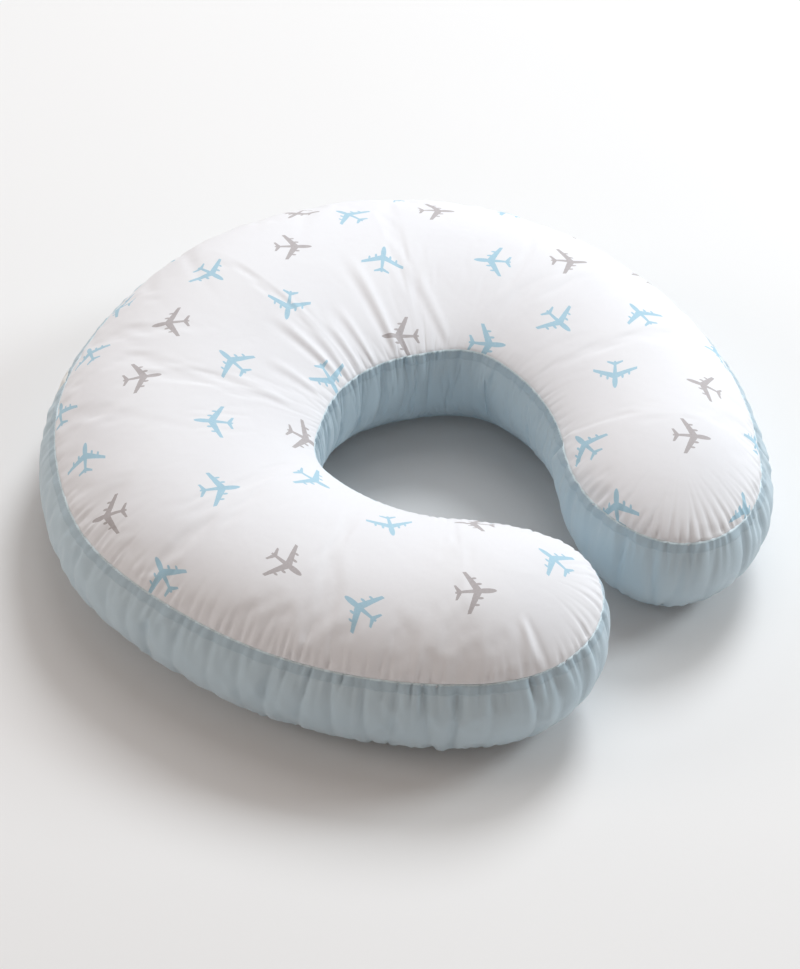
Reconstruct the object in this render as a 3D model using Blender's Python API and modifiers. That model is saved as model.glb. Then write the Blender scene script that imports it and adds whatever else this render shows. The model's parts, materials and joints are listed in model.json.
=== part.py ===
"""Nursing pillow: a U-shaped feeding cushion in a zipped cover, over a separate fibre-filled inner pillow.

Run with: blender --background --python part.py
Metres, +Z up, at real size. The back of the U faces +Y and its mouth -Y. The origin is on the surface that the
pillow rests on, under the middle of its bounding box.

The plan is a spine of three arcs a side (back, shoulder, arm) with a half-width along it, ended by a rounded tip.
A station is one upright cut through the pillow, from the spine out to the outline. Every layer is the same cut
made a little smaller, so the covers nest with a known gap. Angles in degrees along the back are measured round
the centre of the back arc, from +Y towards +X.
"""

import math

import bmesh
import bpy
from mathutils import Vector

# ---- Plan of the pillow --------------------------------------------------------------------------------------
BACK_RADIUS = 0.225  # of the spine, behind the wearer
BACK_ANGLE = 31.0  # each side of the middle
SHOULDER_RADIUS = 0.171
SHOULDER_ANGLE = 59.0
ARM_RADIUS = 0.249
ARM_ANGLE = 44.5
BACK_HALF_WIDTH = 0.1185
ARM_ROOT_HALF_WIDTH = 0.1005
ARM_TIP_HALF_WIDTH = 0.090
TIP_STRETCH = 1.30  # length of the rounded tip over its half-width

# ---- Cut through the pillow ----------------------------------------------------------------------------------
BACK_HEIGHT = 0.142  # at the crown
SHOULDER_HEIGHT = 0.134
TIP_HEIGHT = 0.141
OUTER_SEAM_HEIGHT = 0.095  # of the top seam
INNER_SEAM_HEIGHT = 0.107
LOWER_SEAM_HEIGHT = 0.011
OUTER_SEAM_INSET = 0.0138  # of the top seam from the widest line of the band
INNER_SEAM_INSET = 0.002
LOWER_SEAM_INSET = 0.0238
CROWN_POWER = 0.757  # under 1 keeps the crown full towards the seam
FLAT_SHARE = 0.62  # share of the underside's half-width that lies on the table

# ---- Fabric --------------------------------------------------------------------------------------------------
COVER_CLOTH = 0.0008
CASE_CLOTH = 0.0005
GAP = 0.0003  # between pieces that touch
FILL_GAP = 0.0006  # between the inner case and its filling, whose broad faces are a little twisted
SEAM_ALLOWANCE = 0.009  # turned in behind the band

# ---- Zip -----------------------------------------------------------------------------------------------------
ZIP_HALF_ANGLE = 26.5  # coil, each side of the middle
TAPE_OVERRUN_ANGLE = 2.8
TAPE_THICKNESS = 0.0006
TAPE_REACH = 0.014  # tape edge from the zip's centre line
STRIP_REACH = 0.005  # folded strip edge from the zip's centre line
COIL_WIDTH = 0.0019
COIL_THICKNESS = 0.0020
STOP_LENGTH = 0.0022
SLIDER_LENGTH = 0.009
SLIDER_PLATE = 0.0008
SLIDER_FLANGE = 0.0006
SLIDER_RUNNING_GAP = 0.0005  # behind the tape, which is a little curved
DIVIDER_WIDTH = 0.0006
DIVIDER_LENGTH = 0.0018
BAIL_LENGTH = 0.0046
BAIL_WIDTH = 0.0012
BAIL_BAR = 0.0008
PULL_PIN = 0.0010  # diameter of the pull's end bar
PULL_LENGTH = 0.018
PULL_WIDTH = 0.0052
PULL_THICKNESS = 0.0009
PULL_ARM = 0.0009
PULL_WINDOW = 0.0033

# ---- Care label ----------------------------------------------------------------------------------------------
LABEL_WIDTH = 0.016
LABEL_THICKNESS = 0.0004
LABEL_MARGIN = 0.004  # from the strip's upper and lower edges

# ---- Fineness ------------------------------------------------------------------------------------------------
BACK_STEPS = 4
SHOULDER_STEPS = 5
ARM_STEPS = 4
TIP_STEPS = 8
TOP_STEPS = 6
BAND_STEPS = 6
CASE_BAND_STEPS = 4
UNDERSIDE_STEPS = 3
ZIP_STEPS = 24

PILLOW = "nursing_pillow"
HELPERS = "cutters"


# ---- Scene helpers -------------------------------------------------------------------------------------------
def clear_scene():
    for thing in list(bpy.data.objects):
        bpy.data.objects.remove(thing, do_unlink=True)


def new_collection(name):
    made = bpy.data.collections.new(name)
    bpy.context.scene.collection.children.link(made)
    return made


def material(name, colour, roughness, metallic=0.0):
    made = bpy.data.materials.new(name)
    made.use_nodes = True
    shader = made.node_tree.nodes["Principled BSDF"]
    shader.inputs["Base Color"].default_value = (*colour, 1.0)
    shader.inputs["Roughness"].default_value = roughness
    shader.inputs["Metallic"].default_value = metallic
    return made


def place(name, mesh, collection, finish):
    """A new object in the collection, with its one material."""
    made = bpy.data.objects.new(name, mesh)
    collection.objects.link(made)
    mesh.materials.append(finish)
    return made


def mesh_from(name, work):
    bmesh.ops.recalc_face_normals(work, faces=work.faces)
    mesh = bpy.data.meshes.new(name)
    work.to_mesh(mesh)
    work.free()
    mesh.shade_smooth()
    mesh.set_sharp_from_angle(angle=math.radians(40))
    return mesh


def thicken(thing, thickness, outward=False):
    solidify = thing.modifiers.new("Cloth", "SOLIDIFY")
    solidify.thickness = thickness
    solidify.offset = 1.0 if outward else -1.0
    solidify.use_even_offset = True


def mirror_across_x(thing):
    mirror = thing.modifiers.new("Other side", "MIRROR")
    mirror.use_axis = (True, False, False)
    mirror.merge_threshold = 0.00005


def join(target, others, operation="UNION"):
    """Joins or cuts target with the helpers, which stay hidden in the helper collection."""
    for other in others:
        other.hide_render = True
        other.display_type = "WIRE"
        boolean = target.modifiers.new(other.name, "BOOLEAN")
        boolean.operation = operation
        boolean.solver = "EXACT"
        boolean.object = other


def block(name, size, centre, collection, finish):
    """A box with one size and centre for each local axis."""
    work = bmesh.new()
    bmesh.ops.create_cube(work, size=1.0)
    bmesh.ops.scale(work, vec=Vector(size), verts=work.verts)
    bmesh.ops.translate(work, vec=Vector(centre), verts=work.verts)
    return place(name, mesh_from(name, work), collection, finish)


def soften(thing, width, segments=2):
    bevel = thing.modifiers.new("Rounded edges", "BEVEL")
    bevel.width = width
    bevel.segments = segments
    bevel.limit_method = "ANGLE"


# ---- Plan ----------------------------------------------------------------------------------------------------
class Station:
    """One upright cut: where it starts on the spine, which way it runs, how wide it is and where it lies."""

    def __init__(self, foot, way, reach, inner, along):
        self.foot = foot  # point on the spine
        self.way = way  # unit vector in plan, from the spine out
        self.reach = reach  # widest point of the band from the spine
        self.inner = inner  # 0 on the outside of the U, 1 on the waist side
        self.along = along  # 0 at the middle of the back, 1 at the root of the tip


def hermite(start, end, start_slope, end_slope, length, u):
    rise = start * (2 * u**3 - 3 * u**2 + 1) + end * (3 * u**2 - 2 * u**3)
    lean = start_slope * (u**3 - 2 * u**2 + u) + end_slope * (u**3 - u**2)
    return rise + lean * length


def half_spine():
    """(point, heading, half-width, share of the length) from the middle of the back to the root of the tip."""
    arcs = (
        (BACK_RADIUS, math.radians(BACK_ANGLE), BACK_STEPS),
        (SHOULDER_RADIUS, math.radians(SHOULDER_ANGLE), SHOULDER_STEPS),
        (ARM_RADIUS, math.radians(ARM_ANGLE), ARM_STEPS),
    )
    lengths = [radius * angle for radius, angle, _ in arcs]
    taper = (ARM_TIP_HALF_WIDTH - ARM_ROOT_HALF_WIDTH) / lengths[2]
    point, heading, done = Vector((0.0, 0.0)), 0.0, 0.0
    found = [(point.copy(), heading, BACK_HALF_WIDTH, 0.0)]
    for index, (radius, angle, steps) in enumerate(arcs):
        centre = point - radius * Vector((math.sin(heading), math.cos(heading)))
        for step in range(1, steps + 1):
            share = step / steps
            turned = heading + angle * share
            here = centre + radius * Vector((math.sin(turned), math.cos(turned)))
            if index == 0:
                half_width = BACK_HALF_WIDTH
            elif index == 1:
                half_width = hermite(BACK_HALF_WIDTH, ARM_ROOT_HALF_WIDTH, 0.0, taper, lengths[1], share)
            else:
                half_width = ARM_ROOT_HALF_WIDTH + taper * lengths[2] * share
            found.append((here, turned, half_width, (done + lengths[index] * share) / sum(lengths)))
        point, heading, done = here, turned, done + lengths[index]
    return found


def half_outline():
    """Stations from the middle of the back, outside, round the tip and back along the waist."""
    spine = half_spine()
    outer, inner = [], []
    for foot, heading, half_width, along in spine:
        out = Vector((math.sin(heading), math.cos(heading)))
        outer.append(Station(foot, out, half_width, 0.0, along))
        inner.append(Station(foot, -out, half_width, 1.0, along))
    foot, heading, half_width, along = spine[-1]
    out = Vector((math.sin(heading), math.cos(heading)))
    forward = Vector((math.cos(heading), -math.sin(heading)))
    tip = []
    for step in range(1, TIP_STEPS):
        turn = math.pi * step / TIP_STEPS
        reach = math.cos(turn) * out + math.sin(turn) * TIP_STRETCH * forward
        tip.append(Station(foot, reach.normalized(), half_width * reach.length, step / TIP_STEPS, along))
    return outer, tip, inner[::-1]


OUTER, TIP, INNER = half_outline()
ALL_STATIONS = OUTER + TIP + INNER


def middle_of_plan():
    """Y of the middle of the plan, with the spine starting at Y = 0."""
    edges = [(station.foot + station.way * station.reach).y for station in ALL_STATIONS]
    return (max(edges) + min(edges)) / 2


SPINE_START_Y = -middle_of_plan()
BACK_CENTRE_Y = SPINE_START_Y - BACK_RADIUS


# ---- Cut -----------------------------------------------------------------------------------------------------
class Cut:
    """The outline of one layer at one station, as (distance from the spine, height) points."""

    def __init__(self, station, side=0.0, top=0.0, bottom=0.0):
        along, inner = station.along, station.inner
        crown = BACK_HEIGHT * (1 - along) * (1 - 2 * along)
        crown += 4 * SHOULDER_HEIGHT * along * (1 - along)
        crown += TIP_HEIGHT * along * (2 * along - 1)
        self.crown = crown - top
        self.widest = station.reach - side
        self.seam_height = OUTER_SEAM_HEIGHT + (INNER_SEAM_HEIGHT - OUTER_SEAM_HEIGHT) * inner
        self.seam_reach = self.widest - OUTER_SEAM_INSET - (INNER_SEAM_INSET - OUTER_SEAM_INSET) * inner
        self.base = bottom
        self.low_height = LOWER_SEAM_HEIGHT + bottom
        self.low_reach = self.widest - LOWER_SEAM_INSET
        self.bulge = self.widest - (self.seam_reach + self.low_reach) / 2
        self.fall = self.seam_height - self.low_height

    def band(self, share, depth=0.0):
        """A point of the band, 0 at the top seam and 1 at the lower one, moved inwards by depth."""
        reach = self.seam_reach + (self.low_reach - self.seam_reach) * share
        reach += 4 * self.bulge * share * (1 - share)
        height = self.seam_height - self.fall * share
        out_per_share = self.low_reach - self.seam_reach + 4 * self.bulge * (1 - 2 * share)
        length = math.hypot(out_per_share, self.fall)
        return reach - depth * self.fall / length, height - depth * out_per_share / length

    def band_between(self, start, end, steps, depth=0.0):
        return [self.band(start + (end - start) * i / steps, depth) for i in range(steps + 1)]

    def top(self, depth):
        """From the spine to the panel's rim behind the band's top edge, closer together towards the rim."""
        rim, rim_height = self.band(0, depth)
        points = []
        for i in range(TOP_STEPS + 1):
            share = math.sin(math.pi / 2 * i / TOP_STEPS)
            rise = max(1 - share**2, 0.0) ** CROWN_POWER
            points.append((rim * share, rim_height + (self.crown - rim_height) * rise))
        return points

    def underside(self, depth):
        """From the spine to the panel's rim behind the band's lower edge: flat, then turning up."""
        rim, rim_height = self.band(1, depth)
        flat = rim * FLAT_SHARE
        points = [(0.0, self.base)]
        for i in range(UNDERSIDE_STEPS + 1):
            share = i / UNDERSIDE_STEPS
            points.append((flat + (rim - flat) * share, self.base + (rim_height - self.base) * share**2))
        return points


LAP = COVER_CLOTH + GAP  # how far a layer under the cover cloth lies from its outside
TAPE_BACK = LAP + TAPE_THICKNESS
SLIDER_BACK = TAPE_BACK + SLIDER_RUNNING_GAP + SLIDER_PLATE
CASE_INSETS = {"side": SLIDER_BACK + GAP, "top": LAP, "bottom": LAP}
FILL_INSETS = {name: inset + CASE_CLOTH + FILL_GAP for name, inset in CASE_INSETS.items()}

MIDDLE_CUT = Cut(OUTER[0])
ZIP_SHARE = 0.5 + (MIDDLE_CUT.low_reach - MIDDLE_CUT.seam_reach) / (8 * MIDDLE_CUT.bulge)  # where the band is upright
ZIP_REACH, ZIP_HEIGHT = MIDDLE_CUT.band(ZIP_SHARE)
ZIP_RADIUS = BACK_RADIUS + ZIP_REACH


def world(station, reach, height):
    return (
        station.foot.x + station.way.x * reach,
        SPINE_START_Y + station.foot.y + station.way.y * reach,
        height,
    )


def panel_mesh(name, profile):
    """A sheet over half the plan: each station's profile starts on the spine, which both sides share."""
    work = bmesh.new()
    spine, previous = {}, None
    for station in ALL_STATIONS:
        points = profile(station)
        key = tuple(station.foot)
        if key not in spine:
            spine[key] = work.verts.new(world(station, *points[0]))
        row = [spine[key]] + [work.verts.new(world(station, *point)) for point in points[1:]]
        if previous:
            for a, b, c, d in zip(previous, previous[1:], row[1:], row):
                work.faces.new(list(dict.fromkeys((a, b, c, d))))
        previous = row
    return mesh_from(name, work)


def strip_mesh(name, stations, profile):
    """A sheet along some stations, with no point on the spine."""
    work = bmesh.new()
    rows = [[work.verts.new(world(station, *point)) for point in profile(station)] for station in stations]
    for first, second in zip(rows, rows[1:]):
        for a, b, c, d in zip(first, first[1:], second[1:], second):
            work.faces.new((a, b, c, d))
    return mesh_from(name, work)


def solid_mesh(name, profile):
    """A closed half: each station's profile runs from the spine on top to the spine underneath."""
    work = bmesh.new()
    tops, bottoms, previous = {}, {}, None
    for station in ALL_STATIONS:
        points = profile(station)
        key = tuple(station.foot)
        if key not in tops:
            tops[key] = work.verts.new(world(station, *points[0]))
            bottoms[key] = work.verts.new(world(station, *points[-1]))
        middle = [work.verts.new(world(station, *point)) for point in points[1:-1]]
        row = [tops[key], *middle, bottoms[key]]
        if previous:
            for a, b, c, d in zip(previous, previous[1:], row[1:], row):
                work.faces.new(list(dict.fromkeys((a, b, c, d))))
        previous = row
    return mesh_from(name, work)


# ---- Outer cover ---------------------------------------------------------------------------------------------
def top_panel_profile(station):
    """The panel with its seam allowance turned in, behind the first row of the band's faces."""
    cut = Cut(station)
    return cut.top(LAP) + [cut.band(SEAM_ALLOWANCE / cut.fall, LAP)]


def bottom_panel_profile(station):
    cut = Cut(station)
    return cut.underside(LAP) + [cut.band(1 - SEAM_ALLOWANCE / cut.fall, LAP)]


def band_profile(station):
    cut = Cut(station)
    turned_in = SEAM_ALLOWANCE / cut.fall
    return [cut.band(0), *cut.band_between(turned_in, 1 - turned_in, BAND_STEPS - 2), cut.band(1)]


def make_cover(collection, print_cloth, blue_cloth):
    top = place("cover_top_panel", panel_mesh("cover_top_panel", top_panel_profile), collection, print_cloth)
    bottom = place(
        "cover_bottom_panel", panel_mesh("cover_bottom_panel", bottom_panel_profile), collection, blue_cloth
    )
    stations = OUTER[BACK_STEPS:] + TIP + INNER
    band = place("cover_side_band", strip_mesh("cover_side_band", stations, band_profile), collection, blue_cloth)
    for piece in (top, bottom, band):
        mirror_across_x(piece)
        thicken(piece, COVER_CLOTH)


def sweep_round_back(name, profile, start, end, thickness, collection, finish):
    """A sheet swept round the back arc between two angles, and thickened towards the pillow.

    The profile holds (distance from the middle cut's spine, height) points, from the top down.
    """
    work = bmesh.new()
    from_y = Vector((math.sin(math.radians(end)), math.cos(math.radians(end)), 0.0))
    points = [work.verts.new(from_y * (BACK_RADIUS + reach) + Vector((0, 0, height))) for reach, height in profile]
    for a, b in zip(points, points[1:]):
        work.edges.new((a, b))
    mesh = bpy.data.meshes.new(name)
    work.to_mesh(mesh)
    work.free()
    made = place(name, mesh, collection, finish)
    made.location = (0.0, BACK_CENTRE_Y, 0.0)
    screw = made.modifiers.new("Round the back", "SCREW")
    screw.angle = math.radians(end - start)
    screw.axis = "Z"
    screw.steps = screw.render_steps = max(2, round(ZIP_STEPS * (end - start) / (2 * BACK_ANGLE)))
    thicken(made, thickness)
    return made


def share_at(offset):
    """Share of the band at a height above the zip's centre line."""
    return ZIP_SHARE - offset / MIDDLE_CUT.fall


def make_zip_strips(collection, blue_cloth):
    """The two halves of the band behind the zip, each lapping its tape."""
    end = BACK_ANGLE - math.degrees(GAP / ZIP_RADIUS)
    turned_in = SEAM_ALLOWANCE / MIDDLE_CUT.fall
    upper = [0, turned_in, share_at(TAPE_REACH), share_at(STRIP_REACH)]
    lower_middle = (share_at(-TAPE_REACH) + 1 - turned_in) / 2
    lower = [share_at(-STRIP_REACH), share_at(-TAPE_REACH), lower_middle, 1 - turned_in, 1]
    for name, shares in (("cover_zip_strip_upper", upper), ("cover_zip_strip_lower", lower)):
        profile = [MIDDLE_CUT.band(share) for share in shares]
        sweep_round_back(name, profile, -end, end, COVER_CLOTH, collection, blue_cloth)


def make_care_label(collection, label_cloth):
    """A blank label caught in the upright seam at one end of the zip, lying on the upper strip."""
    start = -BACK_ANGLE + math.degrees(GAP / ZIP_RADIUS)
    end = start + math.degrees(LABEL_WIDTH / ZIP_RADIUS)
    margin = LABEL_MARGIN / MIDDLE_CUT.fall
    depth = -GAP - LABEL_THICKNESS
    profile = MIDDLE_CUT.band_between(margin, share_at(STRIP_REACH) - margin, 3, depth)
    sweep_round_back("cover_care_label", profile, start, end, LABEL_THICKNESS, collection, label_cloth)


# ---- Zip -----------------------------------------------------------------------------------------------------
HALF_SLOT = DIVIDER_WIDTH / 2 + GAP  # from the zip's centre line to the coils
COIL_OUTER = HALF_SLOT + COIL_WIDTH
TAPE_INNER = HALF_SLOT + GAP
COIL_TOP = COIL_THICKNESS - LAP + GAP  # beyond the strips' outside
PLATE_BOTTOM = COIL_TOP + GAP
PLATE_TOP = PLATE_BOTTOM + SLIDER_PLATE
PLATE_HALF_WIDTH = COIL_OUTER + GAP + SLIDER_FLANGE
PIN_GAP_RADIUS = PULL_PIN / 2 + GAP
PIN_CENTRE = PLATE_TOP + GAP / 3 + PIN_GAP_RADIUS  # of the pull's end bar, beyond the strips' outside
STOP_ANGLE = ZIP_HALF_ANGLE + math.degrees((GAP + STOP_LENGTH / 2) / ZIP_RADIUS)
SLIDER_ANGLE = STOP_ANGLE - math.degrees((STOP_LENGTH / 2 + GAP + SLIDER_LENGTH / 2) / ZIP_RADIUS)


def make_tapes_and_coils(collection, tape_cloth, coil_plastic):
    tape_end = ZIP_HALF_ANGLE + TAPE_OVERRUN_ANGLE
    for name, side in (("upper", 1), ("lower", -1)):
        shares = sorted(share_at(side * reach) for reach in (TAPE_INNER, STRIP_REACH, TAPE_REACH))
        profile = [MIDDLE_CUT.band(share, LAP) for share in shares]
        tape = f"zip_tape_{name}"
        sweep_round_back(tape, profile, -tape_end, tape_end, TAPE_THICKNESS, collection, tape_cloth)
        reach = ZIP_REACH + COIL_TOP
        heights = sorted((ZIP_HEIGHT + side * HALF_SLOT, ZIP_HEIGHT + side * COIL_OUTER), reverse=True)
        profile = [(reach, height) for height in heights]
        sweep_round_back(
            f"zip_coil_{name}",
            profile,
            -ZIP_HALF_ANGLE,
            ZIP_HALF_ANGLE,
            COIL_THICKNESS,
            collection,
            coil_plastic,
        )


def on_zip(thing, angle):
    """Puts a piece built at +Y of the back arc's centre at its angle along the zip."""
    thing.location = (0.0, BACK_CENTRE_Y, 0.0)
    thing.rotation_euler.z = -math.radians(angle)


def make_stops(collection, metal):
    depth = (-LAP + GAP, COIL_TOP)
    radius = ZIP_RADIUS + sum(depth) / 2
    for name, side in (("upper", 1), ("lower", -1)):
        centre = (0.0, radius, ZIP_HEIGHT + side * (HALF_SLOT + COIL_OUTER) / 2)
        size = (STOP_LENGTH, depth[1] - depth[0], COIL_WIDTH)
        stop = block(f"zip_top_stop_{name}", size, centre, collection, metal)
        soften(stop, GAP)
        on_zip(stop, STOP_ANGLE)
    size = (STOP_LENGTH, depth[1] - depth[0], 2 * COIL_OUTER)
    stop = block("zip_bottom_stop", size, (0.0, radius, ZIP_HEIGHT), collection, metal)
    soften(stop, GAP)
    on_zip(stop, -STOP_ANGLE)


def make_slider(collection, helpers, metal):
    """Two plates either side of the tape, joined by the divider, with side flanges and the pull's bail."""

    def part(name, length, depths, width, centre_height=0.0, home=helpers):
        size = (length, depths[1] - depths[0], width)
        centre = (0.0, ZIP_RADIUS + sum(depths) / 2, ZIP_HEIGHT + centre_height)
        made = block(name, size, centre, home, metal)
        on_zip(made, SLIDER_ANGLE)
        return made

    width = 2 * PLATE_HALF_WIDTH
    slider = part("zip_slider", SLIDER_LENGTH, (PLATE_BOTTOM, PLATE_TOP), width, home=collection)
    soften(slider, SLIDER_PLATE / 4, 1)
    back_plate = part("slider_back_plate", SLIDER_LENGTH, (-SLIDER_BACK, SLIDER_PLATE - SLIDER_BACK), width)
    flange_depths = (-LAP + GAP, PLATE_TOP - SLIDER_PLATE / 2)
    flange_height = PLATE_HALF_WIDTH - SLIDER_FLANGE / 2
    flanges = [
        part(f"slider_flange_{side}", SLIDER_LENGTH * 0.9, flange_depths, SLIDER_FLANGE, side * flange_height)
        for side in (-1, 1)
    ]
    divider_depths = (-SLIDER_BACK + SLIDER_PLATE / 2, PLATE_TOP - SLIDER_PLATE / 2)
    divider = part("slider_divider", DIVIDER_LENGTH, divider_depths, DIVIDER_WIDTH)
    window_depths = (PIN_CENTRE - PIN_GAP_RADIUS, PIN_CENTRE + PIN_GAP_RADIUS)
    bail_depths = (PLATE_TOP - SLIDER_PLATE / 2, window_depths[1] + BAIL_BAR)
    bail = part("slider_bail", BAIL_LENGTH, bail_depths, BAIL_WIDTH)
    window = part("slider_bail_window", BAIL_LENGTH - 2 * BAIL_BAR, window_depths, 3 * BAIL_WIDTH)
    join(slider, [back_plate, *flanges, divider, bail])
    join(slider, [window], "DIFFERENCE")


def make_pull(collection, helpers, metal):
    """A tab that swings on its end bar, which passes through the slider's bail."""
    radius = ZIP_RADIUS + PIN_CENTRE
    angle = math.radians(SLIDER_ANGLE)
    anchor = Vector((radius * math.sin(angle), BACK_CENTRE_Y + radius * math.cos(angle), ZIP_HEIGHT))

    def part(name, start, end, width, height=0.0, home=helpers):
        size = (end - start, PULL_THICKNESS, width)
        made = block(name, size, (-(start + end) / 2, 0.0, height), home, metal)
        made.location = anchor
        made.rotation_euler.z = -angle
        return made

    pull = part("zip_pull", PULL_WINDOW, PULL_LENGTH, PULL_WIDTH, home=collection)
    soften(pull, PULL_THICKNESS / 3, 1)
    arm_height = BAIL_WIDTH / 2 + GAP + PULL_ARM / 2
    arms = [
        part(f"pull_arm_{side}", 0.0, PULL_WINDOW + PULL_ARM, PULL_ARM, side * arm_height) for side in (-1, 1)
    ]
    work = bmesh.new()
    bmesh.ops.create_cone(
        work,
        cap_ends=True,
        segments=12,
        radius1=PULL_PIN / 2,
        radius2=PULL_PIN / 2,
        depth=2 * arm_height + PULL_ARM,
    )
    pin = place("pull_end_bar", mesh_from("pull_end_bar", work), helpers, metal)
    pin.location = anchor
    join(pull, [*arms, pin])


# ---- Inner pillow --------------------------------------------------------------------------------------------
def make_inner_pillow(collection, ticking, fibre):
    lap = CASE_CLOTH + GAP

    def case_top(station):
        return Cut(station, **CASE_INSETS).top(lap)

    def case_bottom(station):
        return Cut(station, **CASE_INSETS).underside(lap)

    def case_band(station):
        return Cut(station, **CASE_INSETS).band_between(0, 1, CASE_BAND_STEPS)

    def fill(station):
        cut = Cut(station, **FILL_INSETS)
        side = cut.band_between(0, 1, CASE_BAND_STEPS)[1:-1]
        return cut.top(lap) + side + cut.underside(lap)[::-1]

    top = place("inner_case_top", panel_mesh("inner_case_top", case_top), collection, ticking)
    bottom = place("inner_case_bottom", panel_mesh("inner_case_bottom", case_bottom), collection, ticking)
    band = place(
        "inner_case_band", strip_mesh("inner_case_band", ALL_STATIONS, case_band), collection, ticking
    )
    for piece in (top, bottom, band):
        mirror_across_x(piece)
        thicken(piece, CASE_CLOTH)
    filling = place("fibre_fill", solid_mesh("fibre_fill", fill), collection, fibre)
    mirror_across_x(filling)


def main():
    clear_scene()
    pillow = new_collection(PILLOW)
    helpers = new_collection(HELPERS)
    print_cloth = material("white_cotton_percale", (0.86, 0.85, 0.86), 0.85)
    blue_cloth = material("pale_blue_sateen", (0.52, 0.69, 0.77), 0.6)
    label_cloth = material("white_satin_label", (0.9, 0.9, 0.88), 0.45)
    tape_cloth = material("pale_blue_zip_tape", (0.56, 0.71, 0.78), 0.8)
    coil_plastic = material("pale_blue_nylon_coil", (0.62, 0.75, 0.81), 0.35)
    metal = material("nickel_plated_zinc", (0.75, 0.75, 0.74), 0.3, 1.0)
    ticking = material("white_ticking", (0.88, 0.88, 0.86), 0.9)
    fibre = material("white_polyester_fibre", (0.93, 0.93, 0.92), 1.0)
    make_cover(pillow, print_cloth, blue_cloth)
    make_zip_strips(pillow, blue_cloth)
    make_care_label(pillow, label_cloth)
    make_tapes_and_coils(pillow, tape_cloth, coil_plastic)
    make_stops(pillow, metal)
    make_slider(pillow, helpers, metal)
    make_pull(pillow, helpers, metal)
    make_inner_pillow(pillow, ticking, fibre)


main()
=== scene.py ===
"""Looks of the nursing pillow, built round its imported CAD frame.

Metres, +Z up, in the CAD's own frame: the back of the U faces +Y and its mouth -Y. The pillow is a ring of
stations that runs clockwise from the middle of the back, outside, round the +X tip, along the waist and back by
the -X tip. Each station is one upright cut, and its rows run from the spine over the top, down the band and back
under the pillow. A coarse grid of them is blown up as cloth between its pinned seams. The fine grids that show
take that shape, and then the gathers and folds that the sewing pulls in.
"""

import json
import math
import random
from typing import NamedTuple

import bpy
import numpy as np
from mathutils import Matrix, Vector


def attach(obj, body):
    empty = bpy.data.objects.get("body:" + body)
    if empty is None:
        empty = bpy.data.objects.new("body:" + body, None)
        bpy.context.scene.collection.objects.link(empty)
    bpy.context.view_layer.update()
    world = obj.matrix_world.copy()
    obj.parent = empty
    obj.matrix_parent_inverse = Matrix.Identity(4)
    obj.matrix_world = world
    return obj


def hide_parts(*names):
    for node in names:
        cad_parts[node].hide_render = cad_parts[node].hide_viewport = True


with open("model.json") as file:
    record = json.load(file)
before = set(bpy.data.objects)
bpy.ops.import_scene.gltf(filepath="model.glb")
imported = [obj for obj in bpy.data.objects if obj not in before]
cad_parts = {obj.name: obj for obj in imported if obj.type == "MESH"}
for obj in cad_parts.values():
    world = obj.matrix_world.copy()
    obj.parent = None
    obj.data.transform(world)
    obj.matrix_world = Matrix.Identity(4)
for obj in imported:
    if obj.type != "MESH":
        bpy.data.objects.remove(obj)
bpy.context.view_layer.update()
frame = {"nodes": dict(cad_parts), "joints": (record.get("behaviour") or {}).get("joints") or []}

# ---- Plan and cut, as in the CAD ----
BACK_RADIUS = 0.225
SHOULDER_RADIUS = 0.171
ARM_RADIUS = 0.249
BACK_ANGLE = math.radians(31.0)
SHOULDER_ANGLE = math.radians(59.0)
ARM_ANGLE = math.radians(44.5)
BACK_HALF_WIDTH = 0.1185
ARM_ROOT_HALF_WIDTH = 0.1005
ARM_TIP_HALF_WIDTH = 0.090
TIP_STRETCH = 1.30
ZIP_JOINT = next(joint for joint in frame["joints"] if joint["name"] == "zip_slide")
BACK_CENTRE_Y = ZIP_JOINT["pos_m"][1]
SPINE_START_Y = BACK_CENTRE_Y + BACK_RADIUS
BACK_HEIGHT = 0.142
SHOULDER_HEIGHT = 0.134
TIP_HEIGHT = 0.141
OUTER_SEAM_HEIGHT = 0.095
INNER_SEAM_HEIGHT = 0.107
LOWER_SEAM_HEIGHT = 0.011
OUTER_SEAM_INSET = 0.0138
INNER_SEAM_INSET = 0.002
LOWER_SEAM_INSET = 0.0238
CROWN_POWER = 0.757
FLAT_SHARE = 0.62
CLOTH = 0.0006
LAP = 0.0011
SEAM_DIP, SEAM_DIP_LENGTH = 0.0002, 0.0016

# ---- Zip, as in the CAD ----
ZIP_HALF_ANGLE = math.radians(26.5)
TAPE_THICKNESS = 0.0006
TAPE_REACH = 0.014
STRIP_REACH = 0.005
COIL_INNER = 0.0006
COIL_WIDTH = 0.0019
COIL_TOP = 0.0012
COIL_THICKNESS = 0.0020
LABEL_MARGIN = 0.004

# ---- Fineness ----
ARC_CELLS = (25, 39, 36)  # coarse cells along the back, shoulder and arm
TIP_CELLS = 36
FINER = 4  # fine cells in a coarse one, along the seam
TOP_ROWS, BAND_ROWS, UNDER_ROWS = 16, 12, 8  # coarse
TOP_FINE, BAND_FINE, UNDER_FINE = 24, 24, 12
TIP_SPREAD = 0.5  # how far the rows' start moves out into the tip, so that they don't meet in a point


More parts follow.
